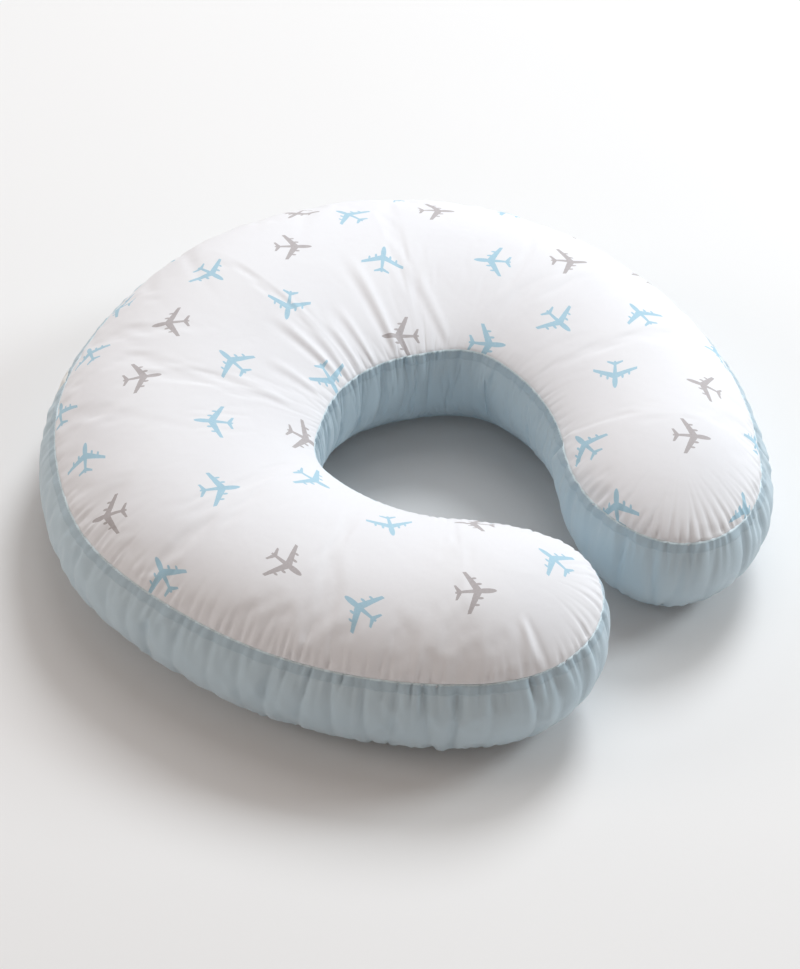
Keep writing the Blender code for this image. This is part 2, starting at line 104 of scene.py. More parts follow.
# ---- Stations ----
def spine(finer):
    """Points, headings, half-widths and shares of the length, at the ends of the cells of half the spine."""
    arcs = ((BACK_RADIUS, BACK_ANGLE), (SHOULDER_RADIUS, SHOULDER_ANGLE), (ARM_RADIUS, ARM_ANGLE))
    lengths = [radius * angle for radius, angle in arcs]
    taper = ARM_TIP_HALF_WIDTH - ARM_ROOT_HALF_WIDTH
    at, heading, done = np.zeros(2), 0.0, 0.0
    rows = [(0.0, 0.0, 0.0, BACK_HALF_WIDTH, 0.0)]
    for index, (radius, angle) in enumerate(arcs):
        centre = at - radius * np.array((math.sin(heading), math.cos(heading)))
        cells = ARC_CELLS[index] * finer
        for cell in range(1, cells + 1):
            u = cell / cells
            turned = heading + angle * u
            here = centre + radius * np.array((math.sin(turned), math.cos(turned)))
            if index == 0:
                width = BACK_HALF_WIDTH
            elif index == 1:
                width = BACK_HALF_WIDTH + (ARM_ROOT_HALF_WIDTH - BACK_HALF_WIDTH) * (3 * u**2 - 2 * u**3)
                width += (u**3 - u**2) * taper / lengths[2] * lengths[1]
            else:
                width = ARM_ROOT_HALF_WIDTH + taper * u
            rows.append((*here, turned, width, (done + lengths[index] * u) / sum(lengths)))
        at, heading, done = here, turned, done + lengths[index]
    found = np.array(rows)
    return found[:, 0:2], found[:, 2], found[:, 3], found[:, 4]


class Ring:
    """All stations, with what their cuts need, as arrays. mate is the one that shares a station's spine point."""

    def __init__(self, finer):
        point, heading, width, along = spine(finer)
        out = np.stack((np.sin(heading), np.cos(heading)), 1)
        tip_cells = TIP_CELLS * finer
        turn = math.pi * np.arange(1, tip_cells) / tip_cells
        ahead = np.array((math.cos(heading[-1]), -math.sin(heading[-1])))
        reach = np.cos(turn)[:, None] * out[-1] + TIP_STRETCH * np.sin(turn)[:, None] * ahead
        length = np.linalg.norm(reach, axis=1)
        half = 2 * (len(point) - 1) + tip_cells
        pick = np.concatenate((np.arange(half + 1), np.arange(half - 1, 0, -1)))
        self.side = np.concatenate((np.ones(half + 1), -np.ones(half - 1)))
        flip = np.stack((self.side, np.ones(len(pick))), 1)

        def picked(outside, tip, waist):
            return np.concatenate((outside, tip, waist))[pick]

        none, whole = np.zeros(len(point)), np.ones(len(point))
        spread = picked(none, np.sin(turn), none)
        foot = picked(point, np.repeat(point[-1:], len(turn), 0), point[::-1])
        self.foot = foot * flip
        self.start = (foot + TIP_SPREAD * width[-1] * spread[:, None] * ahead) * flip
        self.way = picked(out, reach / length[:, None], -out[::-1]) * flip
        self.widest = picked(width, width[-1] * length, width[::-1])
        self.inner = picked(none, turn / math.pi, whole)
        self.along = picked(along, np.ones(len(turn)), along[::-1])
        self.u = pick / half
        self.is_tip = spread > 0
        self.tip_foot, self.tip_out, self.tip_ahead = point[-1], out[-1], ahead
        self.tip_width = width[-1]
        self.count = len(pick)
        mate = half - pick
        mate = np.where((self.side > 0) | (mate == 0) | (mate == half), mate, 2 * half - mate)
        self.mate = np.where(pick * 2 <= half, np.arange(self.count), mate)


class Cuts:
    """The cut at each of many (widest, inner, along) places, all at once."""

    def __init__(self, widest, inner, along, inset=0.0):
        self.crown = (
            BACK_HEIGHT * (1 - along) * (1 - 2 * along)
            + 4 * SHOULDER_HEIGHT * along * (1 - along)
            + TIP_HEIGHT * along * (2 * along - 1)
            - inset
        )
        self.widest = widest - inset
        self.seam_height = OUTER_SEAM_HEIGHT + (INNER_SEAM_HEIGHT - OUTER_SEAM_HEIGHT) * inner
        self.seam_reach = self.widest - OUTER_SEAM_INSET - (INNER_SEAM_INSET - OUTER_SEAM_INSET) * inner
        self.base = inset
        self.low_height = LOWER_SEAM_HEIGHT + inset
        self.low_reach = self.widest - LOWER_SEAM_INSET
        self.bulge = self.widest - (self.seam_reach + self.low_reach) / 2
        self.fall = self.seam_height - self.low_height

    def band(self, share):
        reach = self.seam_reach + (self.low_reach - self.seam_reach) * share
        return reach + 4 * self.bulge * share * (1 - share), self.seam_height - self.fall * share

    def top_height(self, share):
        rise = np.maximum(1 - share**2, 0.0) ** CROWN_POWER
        return self.seam_height + (self.crown - self.seam_height) * rise

    def under_height(self, share):
        turned = np.maximum(share - FLAT_SHARE, 0.0) / (1 - FLAT_SHARE)
        return self.base + (self.low_height - self.base) * turned**2


# the zip's centre line, where the band is upright
BACK_CUT = Cuts(BACK_HALF_WIDTH, 0.0, 0.0)
ZIP_SHARE = 0.5 + (BACK_CUT.low_reach - BACK_CUT.seam_reach) / (8 * BACK_CUT.bulge)
ZIP_REACH, ZIP_HEIGHT = BACK_CUT.band(ZIP_SHARE)
ZIP_RADIUS = BACK_RADIUS + ZIP_REACH
BAND_FALL = BACK_CUT.fall


def top_shares(rows):
    return np.sin(math.pi / 2 * np.arange(rows + 1) / rows)


def band_shares(rows):
    even = np.arange(rows + 1) / rows
    return 0.5 * even + 0.25 * (1 - np.cos(math.pi * even))


def under_shares(rows):
    return np.cos(math.pi / 2 * np.arange(rows + 1) / rows)


def sheet_points(ring, shares, seam_reach, height_of, inset=0.0):
    """Points of the top or underside, from the spine (share 0) to the seam (share 1), station by station."""
    seam = ring.foot + ring.way * seam_reach[:, None]
    plan = ring.start[:, None] + (seam - ring.start)[:, None] * shares[None, :, None]
    # round the tip, a point's height comes from its own direction from the end of the spine
    mirrored = plan * np.stack((ring.side, np.ones(ring.count)), 1)[:, None]
    offset = mirrored - ring.tip_foot
    across, ahead = offset @ ring.tip_out, offset @ ring.tip_ahead / TIP_STRETCH
    turn = np.arctan2(ahead, across)
    seam_here = np.abs(turn) / math.pi
    inset_here = OUTER_SEAM_INSET + (INNER_SEAM_INSET - OUTER_SEAM_INSET) * seam_here
    if height_of == "under_height":
        inset_here = np.full_like(inset_here, LOWER_SEAM_INSET)
    stretch = np.hypot(np.cos(turn), TIP_STRETCH * np.sin(turn))
    rim = ring.tip_width * stretch - inset_here - inset
    tip_share = np.linalg.norm(offset, axis=2) / rim
    tip = ring.is_tip[:, None]
    share = np.where(tip, np.minimum(tip_share, 1.0), shares)
    inner = np.where(tip, seam_here, ring.inner[:, None])
    cut = Cuts(ring.widest[:, None], inner, ring.along[:, None], inset)
    height = getattr(cut, height_of)(share)
    return np.concatenate((plan + (0.0, SPINE_START_Y), height[..., None]), 2)


def band_points(ring, shares, inset=0.0):
    cut = Cuts(ring.widest[:, None], ring.inner[:, None], ring.along[:, None], inset)
    reach, height = cut.band(shares[None, :])
    plan = ring.foot[:, None] + ring.way[:, None] * reach[..., None] + (0.0, SPINE_START_Y)
    height = np.broadcast_to(height, reach.shape)
    return np.concatenate((plan, height[..., None]), 2)


def whole_grid(ring, top_rows, band_rows, under_rows, inset=0.0):
    """Top, band and underside in one grid. The seam rows are shared."""
    cut = Cuts(ring.widest, ring.inner, ring.along, inset)
    top = sheet_points(ring, top_shares(top_rows), cut.seam_reach, "top_height", inset)
    band = band_points(ring, band_shares(band_rows), inset)
    under = sheet_points(ring, under_shares(under_rows), cut.low_reach, "under_height", inset)
    return np.concatenate((top, band[:, 1:], under[:, 1:]), 1)


# ---- Mesh helpers ----
def new_mesh(name, points, faces):
    mesh = bpy.data.meshes.new(name)
    mesh.from_pydata([tuple(point) for point in points], [], [tuple(face) for face in faces])
    mesh.update()
    mesh.shade_smooth()
    made = bpy.data.objects.new(name, mesh)
    bpy.context.scene.collection.objects.link(made)
    return made


def shared_index(stations, rows, spine_rows, mate):
    """The mesh point of each place of a grid, and the places that have one of their own.

    Spine rows share their points between mated stations.
    """
    index = np.arange(stations * rows).reshape(stations, rows)
    for row in spine_rows:
        index[:, row] = index[mate, row]
    used = np.unique(index)
    place = np.zeros(stations * rows, int)
    place[used] = np.arange(len(used))
    return place[index], used


def cells_of(index, closed):
    """The four corners of each cell of a grid [station, row]."""
    start = np.arange(len(index) if closed else len(index) - 1)
    here, after = index[start], index[(start + 1) % len(index)]
    return np.stack((here[:, :-1], after[:, :-1], after[:, 1:], here[:, 1:]), 2).reshape(-1, 4)


def grid_object(name, points, closed, spine_rows=(), mate=None, fields=None, maps=None):
    """A mesh from a grid of points. fields are named numbers for each point, and maps named pairs."""
    stations, rows = points.shape[:2]
    index, used = shared_index(stations, rows, spine_rows, mate)
    corners = cells_of(index, closed)
    whole = (corners[:, 0] != corners[:, 1]) & (corners[:, 2] != corners[:, 3])
    made = new_mesh(name, points.reshape(-1, 3)[used], corners[whole].tolist())
    for field, values in (fields or {}).items():
        layer = made.data.attributes.new(field, "FLOAT", "POINT")
        layer.data.foreach_set("value", values.reshape(-1)[used].astype(np.float32))
    own = cells_of(np.arange(stations * rows).reshape(stations, rows), closed)[whole].reshape(-1)
    for name_of_map, pairs in (maps or {}).items():
        layer = made.data.uv_layers.new(name=name_of_map)
        layer.data.foreach_set("uv", pairs.reshape(-1, 2)[own].astype(np.float32).reshape(-1))
    return made


def read(items, name, width=1, kind=float):
    """One property of all of a mesh's points, faces or corners, as an array."""
    values = np.zeros(len(items) * width, kind)
    items.foreach_get(name, values)
    return values.reshape(-1, width) if width > 1 else values


def unit(vectors):
    return vectors / np.maximum(np.linalg.norm(vectors, axis=-1, keepdims=True), 1e-12)


def normals_of(points, closed=True):
    """Outward normals of a grid of points."""
    if closed:
        along = np.roll(points, -1, 0) - np.roll(points, 1, 0)
    else:
        along = np.gradient(points, axis=0)
    return unit(np.cross(along, np.gradient(points, axis=1)))


def between(wanted, known, values):
    """Values [point, axis], known at some places along a line, at one wanted place or at many."""
    return np.stack([np.interp(wanted, known, column) for column in values.T], -1)


def distance_along(points):
    """Distance of each row from the first, along its station."""
    steps = np.linalg.norm(np.diff(points, axis=1), axis=2)
    return np.concatenate((np.zeros((points.shape[0], 1)), np.cumsum(steps, 1)), 1)


def distance_back(points):
    """Distance of each row from the last, along its station."""
    return distance_along(points[:, ::-1])[:, ::-1]


# ---- Cloth ----
CLOTH_FRAMES = 16
CLOTH_CAP = 0.011
CLOTH_GROWTH = -0.020  # the panels are cut larger than the seams that hold them
CLOTH_PRESSURE = 9.0
CLOTH_SINK = 0.3  # of how far the cloth would sink, since its filling holds it up
CLOTH_SWELL = 0.25  # of the broad swelling, which the pillow's own shape already has
BROAD_PASSES = 40
CLOTH_CALM = 0.5  # of the fine movement, along the middle of the top
CALM_UNTIL = 0.8  # share of the top's rows at which the whole of it is back


def blow_up(ring, points):
    """How far each point of the coarse grid moves when the cover is filled, with its seams held."""
    stations, rows = points.shape[:2]
    ends = (0, rows - 1)
    hold = np.where(zip_nearness(ring, points) > 0.5, 1.0, 0.0)
    hold[:, TOP_ROWS] = 1.0
    hold[:, TOP_ROWS + BAND_ROWS :] = 1.0
    made = grid_object("cloth_work", points, True, ends, ring.mate, {"hold": hold})
    group = made.vertex_groups.new(name="hold")
    for number in np.nonzero(read(made.data.attributes["hold"].data, "value", kind=np.float32))[0]:
        group.add([int(number)], 1.0, "REPLACE")
    cloth = made.modifiers.new("Cloth", "CLOTH")
    set_cloth(cloth)
    cloth.point_cache.frame_start, cloth.point_cache.frame_end = 1, CLOTH_FRAMES
    for number in range(1, CLOTH_FRAMES + 1):
        bpy.context.scene.frame_set(number)
    done = made.evaluated_get(bpy.context.evaluated_depsgraph_get())
    after = read(done.data.vertices, "co", 3, np.float32)
    moved = (after - read(made.data.vertices, "co", 3, np.float32)).astype(float)
    bpy.context.scene.frame_set(1)
    bpy.data.objects.remove(made, do_unlink=True)
    index, _ = shared_index(stations, rows, ends, ring.mate)
    return settled(ring, points, moved[index])


def settled(ring, points, moved):
    """The cloth's movement without most of its broad swelling, and held up by the filling where it sinks."""
    broad = moved
    for _ in range(BROAD_PASSES):
        broad = 0.5 * broad + 0.25 * (np.roll(broad, 1, 0) + np.roll(broad, -1, 0))
        above, below = broad[ring.mate, 1:2], broad[ring.mate, -2:-1]
        wide = np.concatenate((above, broad, below), 1)
        broad = 0.5 * broad + 0.25 * (wide[:, 2:] + wide[:, :-2])
    free = np.linalg.norm(moved, axis=2, keepdims=True) > 0
    fine = np.where(free, moved - (1 - CLOTH_SWELL) * broad, 0.0)
    normal = normals_of(points)
    out = np.sum(fine * normal, 2, keepdims=True)
    fine = fine - normal * np.minimum(out, 0.0) * (1 - CLOTH_SINK)
    row = np.arange(points.shape[1])
    calm = np.clip(row / (TOP_ROWS * CALM_UNTIL), 0, 1) ** 2
    fine = fine * (CLOTH_CALM + (1 - CLOTH_CALM) * calm)[None, :, None]
    length = np.linalg.norm(fine, axis=2, keepdims=True)
    return fine * np.minimum(1.0, CLOTH_CAP / np.maximum(length, 1e-9))


def set_cloth(cloth):
    settings = {
        "quality": 6,
        "mass": 0.15,
        "tension_stiffness": 25,
        "compression_stiffness": 25,
        "shear_stiffness": 8,
        "bending_stiffness": 0.3,
        "tension_damping": 12,
        "compression_damping": 12,
        "bending_damping": 0.5,
        "air_damping": 3,
        "shrink_min": CLOTH_GROWTH,
        "use_pressure": True,
        "uniform_pressure_force": CLOTH_PRESSURE,
        "vertex_group_mass": "hold",
    }
    for name, value in settings.items():
        setattr(cloth.settings, name, value)
    cloth.settings.effector_weights.gravity = 0
    cloth.collision_settings.use_collision = False
    cloth.collision_settings.use_self_collision = False


# how far from the zip's centre line its hold ends and starts to fade, in height and in angle
ZONE_HEIGHT, ZONE_HEIGHT_FADE = 0.026, 0.010
ZONE_ANGLE, ZONE_ANGLE_FADE = math.radians(36.0), math.radians(4.0)
ZONE_DEPTH = 0.06  # beyond the back arc's radius


def zip_nearness(ring, points):
    """1 on the zip and its tapes, fading to 0 round them."""
    rel = points[..., :2] - (0.0, BACK_CENTRE_Y)
    angle = np.abs(np.arctan2(rel[..., 0], rel[..., 1]))
    height = np.abs(points[..., 2] - ZIP_HEIGHT)
    across = np.clip((ZONE_HEIGHT - height) / ZONE_HEIGHT_FADE, 0, 1)
    along = np.clip((ZONE_ANGLE - angle) / ZONE_ANGLE_FADE, 0, 1)
    outside = (ring.inner < 0.5)[:, None] & (np.linalg.norm(rel, axis=2) > BACK_RADIUS + ZONE_DEPTH)
    return np.where(outside, np.minimum(across, along), 0.0)


def cubic(before, here, after, beyond, t):
    """Catmull-Rom interpolation from here (t 0) to after (t 1)."""
    return (
        before * (-0.5 * t + t**2 - 0.5 * t**3)
        + here * (1 - 2.5 * t**2 + 1.5 * t**3)
        + after * (0.5 * t + 2 * t**2 - 1.5 * t**3)
        + beyond * (-0.5 * t**2 + 0.5 * t**3)
    )


def finer_stations(values, finer):
    """Interpolation round the closed ring."""
    around = [np.roll(values, shift, 0) for shift in (1, 0, -1, -2)]
    parts = [cubic(*around, part / finer) for part in range(finer)]
    return np.stack(parts, 1).reshape(-1, *values.shape[1:])


def finer_rows(values, rows):
    """Interpolation along the rows, to so many cells."""
    cells = values.shape[1] - 1
    at = np.arange(rows + 1) / rows * cells
    low = np.minimum(at.astype(int), cells - 1)
    around = [values[:, np.clip(low + shift, 0, cells)] for shift in (-1, 0, 1, 2)]
    return cubic(*around, (at - low)[None, :, None])


# ---- Gathers and folds ----
SEED = 11


def arc_lengths(line):
    """Distance along a closed line of points, from its first."""
    steps = np.linalg.norm(np.roll(line, -1, 0) - line, axis=1)
    return np.concatenate(((0.0,), np.cumsum(steps)))


# a crease's own height, length, width and gap to the next, as shares of what its kind has
HEIGHTS, LENGTHS, WIDTHS, GAPS = (0.35, 1.0), (0.6, 1.25), (0.22, 0.34), (0.65, 1.35)
WEAK_LENGTH = 0.45  # share of its length that a crease keeps where the gathers are weak
CREASE_FALL, CREASE_END = 2.2, 1.5  # how fast it fades away from its seam, and how many lengths on it ends
PUFF, PUFF_WIDTH = 0.6, 1.9
PINCH, PINCH_FALL = 1.25, 1.15
CREASE_REACH = 4  # widths to either side that are worked out, as a count of stations, and some to spare
STATION_PITCH, SPARE_STATIONS = 0.002, 6


class Gathers(NamedTuple):
    """One kind of small crease along a seam, in metres. grow is how soon it rises from the seam."""

    spacing: float
    length: float
    height: float
    strength: tuple
    lean: float = 0.12
    grow: float = 0.0025


def gathers(kind, draw, ring, seam, depths):
    """A field of small creases that start on a seam, each pinched between two puffs. depths is how far it is."""
    stations = arc_lengths(seam)
    total = stations[-1]
    field = np.zeros(depths.shape)
    at = 0.0
    while at < total:
        station = int(np.searchsorted(stations[:-1], at)) % ring.count
        anchors = kind.strength[0] if ring.side[station] > 0 else kind.strength[1]
        share = np.interp(ring.u[station], *zip(*anchors))
        tall = kind.height * share * draw.uniform(*HEIGHTS)
        long = kind.length * (WEAK_LENGTH + (1 - WEAK_LENGTH) * share) * draw.uniform(*LENGTHS)
        wide = kind.spacing * draw.uniform(*WIDTHS)
        slope = draw.uniform(-kind.lean, kind.lean)
        near = int(CREASE_REACH * (wide + long * kind.lean) / STATION_PITCH) + SPARE_STATIONS
        around = np.arange(station - near, station + near) % ring.count
        offset = stations[:-1][around] - at
        offset = (offset + total / 2) % total - total / 2
        depth = depths[around]
        across = (offset[:, None] - slope * depth) / wide
        fade = np.exp(-CREASE_FALL * depth / long) * (1 - np.exp(-depth / kind.grow))
        fade = fade * np.clip(CREASE_END - depth / long, 0, 1)
        puffed = PUFF * np.exp(-((across / PUFF_WIDTH) ** 2)) - PINCH * np.exp(-PINCH_FALL * np.abs(across))
        field[around] += tall * puffed * fade
        at += kind.spacing * draw.uniform(*GAPS)
    return field


# a long fold: where it rises and ends as shares of its length, its width there, and the valley beside it
FOLD_RISE, FOLD_RISES_OVER = -0.12, 0.22
FOLD_END, FOLD_ENDS_OVER = 1.1, 0.5
FOLD_WIDTH, FOLD_WIDENS = 0.7, 0.6
VALLEY_OFFSET, VALLEY_DEPTH = 1.7, 0.5


def fold(field, plan, start, end, width, height):
    """Adds a long ridge on the top between two points of the plan, with a valley along one side of it."""
    start, end = np.array(start), np.array(end)
    run = end - start
    length = np.linalg.norm(run)
    run = run / length
    side = np.array((-run[1], run[0]))
    offset = plan - start
    along, across = offset @ run / length, offset @ side
    fade = np.clip((along - FOLD_RISE) / FOLD_RISES_OVER, 0, 1)
    fade = fade * np.clip((FOLD_END - along) / FOLD_ENDS_OVER, 0, 1)
    fade = fade * fade * (3 - 2 * fade)
    thin = width * (FOLD_WIDTH + FOLD_WIDENS * np.clip(along, 0, 1))
    ridge = np.exp(-((across / thin) ** 2))
    valley = np.exp(-(((across - VALLEY_OFFSET * thin) / thin) ** 2))
    field += height * fade * (ridge - VALLEY_DEPTH * valley)


# how strong the gathers are along the +X and the -X half, as (u, share): u runs from 0 at the middle of the back,
# outside, to 1 at the middle of the waist
TOP_STRENGTH = (
    ((0, 0.3), (0.25, 0.3), (0.38, 0.7), (0.43, 1.9), (0.54, 1.9), (0.6, 0.5), (0.75, 0.25), (0.88, 0.6))
    + ((1, 0.8),),
    ((0, 0.3), (0.17, 0.4), (0.22, 1.8), (0.35, 1.9), (0.42, 0.9), (0.49, 1.6), (0.56, 2.0), (0.61, 0.7))
    + ((0.75, 0.2), (1, 0.8)),
)
BAND_STRENGTH = (
    ((0, 0.3), (0.3, 0.4), (0.42, 1.2), (0.54, 1.4), (0.62, 0.5), (0.75, 0.5), (0.85, 1.0), (1, 1.1)),
    ((0, 0.3), (0.2, 0.5), (0.3, 0.9), (0.38, 1.3), (0.54, 1.4), (0.62, 0.6), (0.75, 0.7), (0.85, 1.0), (1, 1.1)),
)
WAIST_STRENGTH = (
    ((0, 0.3), (0.35, 0.3), (0.42, 0.0), (0.58, 0.0), (0.65, 0.3), (0.88, 0.6), (1, 0.8)),
    ((0, 0.3), (0.2, 0.6), (0.34, 0.6), (0.42, 0.0), (0.58, 0.0), (0.65, 0.3), (0.88, 0.5), (1, 0.8)),
)
TOP_GATHERS = Gathers(0.0088, 0.024, 0.0034, TOP_STRENGTH)
TOP_DRAPE = Gathers(0.028, 0.070, 0.0020, WAIST_STRENGTH, lean=0.3)
BAND_GATHERS = Gathers(0.0100, 0.042, 0.0052, BAND_STRENGTH)
LOWER_GATHERS = Gathers(0.0110, 0.036, 0.0044, BAND_STRENGTH)
BAND_DRAPE = Gathers(0.024, 0.160, 0.0072, BAND_STRENGTH, lean=0.14, grow=0.006)
BAND_CRINKLES = Gathers(0.0056, 0.015, 0.0024, BAND_STRENGTH, lean=0.1, grow=0.0012)
UNDER_GATHERS = Gathers(0.0105, 0.030, 0.0014, BAND_STRENGTH)
# the longer folds, mostly from the waist seam outwards: start and end in plan, half-width and height
LONG_FOLDS = (
    ((-0.017, 0.066), (-0.022, 0.128), 0.0040, 0.0016),
    ((0.045, 0.050), (0.078, 0.138), 0.0045, 0.0018),
    ((-0.008, 0.056), (-0.004, 0.100), 0.0032, 0.0010),
    ((0.006, 0.055), (0.012, 0.102), 0.0034, 0.0012),
    ((0.020, 0.054), (0.030, 0.106), 0.0034, 0.0012),
    ((0.086, 0.030), (0.114, 0.100), 0.0042, 0.0011),
    ((-0.078, 0.060), (-0.098, 0.106), 0.0045, 0.0008),
    ((-0.045, 0.058), (-0.058, 0.100), 0.0040, 0.0009),
    ((-0.124, -0.245), (-0.136, -0.270), 0.0040, 0.0016),
)


def fold_fields(ring, top, band, under):
    """How far each point of the fine grids is pushed out along its normal."""
    draw = random.Random(SEED)
    seam, low = top[:, -1], band[:, -1]
    top_depth, band_depth = distance_back(top), distance_along(band)
    push_top = gathers(TOP_GATHERS, draw, ring, seam, top_depth)
    push_top += gathers(TOP_DRAPE, draw, ring, seam, top_depth)
    for long_fold in LONG_FOLDS:
        fold(push_top, top[..., :2], *long_fold)
    push_band = gathers(BAND_GATHERS, draw, ring, seam, band_depth)
    push_band += gathers(LOWER_GATHERS, draw, ring, low, distance_back(band))
    push_band += gathers(BAND_DRAPE, draw, ring, seam, band_depth)
    push_band += gathers(BAND_CRINKLES, draw, ring, seam, band_depth)
    push_under = gathers(UNDER_GATHERS, draw, ring, low, distance_along(under))
    return push_top, push_band, push_under


# centre, radius and push: where the real pillow isn't quite symmetric
LEANS = (
    ((-0.288, 0.075, 0.075), 0.070, (-0.0065, 0.0020, 0.0)),
    ((0.030, 0.240, 0.135), 0.110, (0.0, 0.0020, 0.0060)),
    ((-0.040, -0.225, 0.120), 0.055, (0.0070, 0.0, 0.0045)),
)


def leaned(ring, points):
    """The grid with the pillow's own unevenness, away from the zip."""
    push = np.zeros(points.shape)
    for centre, radius, way in LEANS:
        gap = np.sum((points - centre) ** 2, 2) / radius**2
        push += np.exp(-gap)[..., None] * np.array(way)
    return points + push * (1 - zip_nearness(ring, points))[..., None]


# ---- The cover's shape ----
COARSE, FINE = Ring(1), Ring(FINER)


def filled_cover():
    """The fine top, band and underside grids after the cloth, before their gathers."""
    coarse = whole_grid(COARSE, TOP_ROWS, BAND_ROWS, UNDER_ROWS)
    cut = Cuts(FINE.widest, FINE.inner, FINE.along)
    top = sheet_points(FINE, top_shares(TOP_FINE), cut.seam_reach, "top_height")
    band = band_points(FINE, band_shares(BAND_FINE))
    under = sheet_points(FINE, under_shares(UNDER_FINE), cut.low_reach, "under_height")
    moved = finer_stations(blow_up(COARSE, coarse), FINER)
    low = TOP_ROWS + BAND_ROWS
    top = top + finer_rows(moved[:, : TOP_ROWS + 1], TOP_FINE)
    band = band + finer_rows(moved[:, TOP_ROWS : low + 1], BAND_FINE)
    under = under + finer_rows(moved[:, low:], UNDER_FINE)
    return top, band, under


def pushed(points, push):
    return points + normals_of(points) * push[..., None]


def shape_cover():
    """The top before and after its gathers, the band and the underside."""
    smooth, band, under = (leaned(FINE, grid) for grid in filled_cover())
    push_top, push_band, push_under = fold_fields(FINE, smooth, band, under)
    push_band = push_band * (1 - zip_nearness(FINE, band))
    under = pushed(under, push_under)
    under[..., 2] = np.maximum(under[..., 2], 0.0)
    return smooth, pushed(smooth, push_top), pushed(band, push_band), under


SMOOTH_TOP, TOP, BAND, UNDER = shape_cover()
BACK_CELLS = ARC_CELLS[0] * FINER

# ---- Print ----
# one small jet each: place in plan in millimetres, and heading in degrees from +X
BLUE_JETS = (
    (-25, 205, 270), (-85, 115, 90), (-5, 130, 220), (-25, 60, 265), (-145, 75, 135), (-195, 15, 325),
    (-125, -20, 280), (-235, 130, 45), (-275, -5, 60), (-205, -150, 90), (-125, -105, 230), (-60, -220, 95),
    (125, 185, 90), (100, 120, 40), (170, 55, 130), (105, 0, 305), (155, -35, 260), (210, -80, 75),
    (135, -115, 220), (65, -145, 80), (35, -205, 30), (-205, 195, 60), (-145, 225, 70), (-85, 255, 110),
    (250, 110, 90), (245, -140, 150), (185, -230, 30), (115, -275, 80),
    (-235, -230, 40), (65, 270, 250), (-10, 285, 40), (210, 205, 300),
)
GREY_JETS = (
    (-135, -205, 320), (-90, 185, 135), (-150, 155, 320), (50, 180, 320), (190, 140, 320), (220, 10, 320),
    (-265, 70, 135), (55, 55, 140), (-90, 25, 305), (-215, -80, 270), (-70, -145, 130), (180, -175, 125),
    (120, -210, 315), (100, 225, 200), (275, -30, 60), (155, 245, 130), (275, 50, 210),
)
BLUE_INK, GREY_INK = 1.0, 2.0


def print_frames(points):
    """Every jet's middle, the way ahead of it, the way to its side and its ink, as four arrays."""
    flat, normal = points.reshape(-1, 3), normals_of(points).reshape(-1, 3)
    frames = []
    for ink, jets in ((BLUE_INK, BLUE_JETS), (GREY_INK, GREY_JETS)):
        for x, y, heading in jets:
            place = np.array((x / 1000, y / 1000, 0.0))
            nearest = int(np.argmin(np.sum((flat[:, :2] - place[:2]) ** 2, 1)))
            up = normal[nearest]
            ahead = np.array((math.cos(math.radians(heading)), math.sin(math.radians(heading)), 0.0))
            ahead = ahead - up * (ahead @ up)
            ahead /= np.linalg.norm(ahead)
            beyond = place - flat[nearest] * (1, 1, 0)
            beyond = beyond - up * (beyond @ up)
            frames.append((flat[nearest] + beyond, ahead, np.cross(up, ahead), ink))
    return [np.array(part) for part in zip(*frames)]


def nearest_jets(centres, middles):
    chosen, best = np.zeros(len(centres), int), np.full(len(centres), np.inf)
    for number, middle in enumerate(middles):
        gap = np.sum((centres - middle) ** 2, 1)
        closer = gap < best
        chosen[closer], best[closer] = number, gap[closer]
    return chosen


def lay_print(piece, middles, aheads, sides, inks):
    """Adds the print's map, in millimetres from the nearest jet, and its ink to a finished mesh."""
    mesh = piece.data
    chosen = nearest_jets(read(mesh.polygons, "center", 3), middles)
    of_loop = np.repeat(chosen, read(mesh.polygons, "loop_total", kind=int))
    corners = read(mesh.vertices, "co", 3)[read(mesh.loops, "vertex_index", kind=int)]
    offset = corners - middles[of_loop]
    pairs = np.stack((np.sum(offset * aheads[of_loop], 1), np.sum(offset * sides[of_loop], 1)), 1)
    layer = mesh.uv_layers.new(name="Print")
    layer.data.foreach_set("uv", (pairs * 1000).astype(np.float32).reshape(-1))
    ink = mesh.attributes.new("ink", "FLOAT", "FACE")
    ink.data.foreach_set("value", inks[chosen].astype(np.float32))


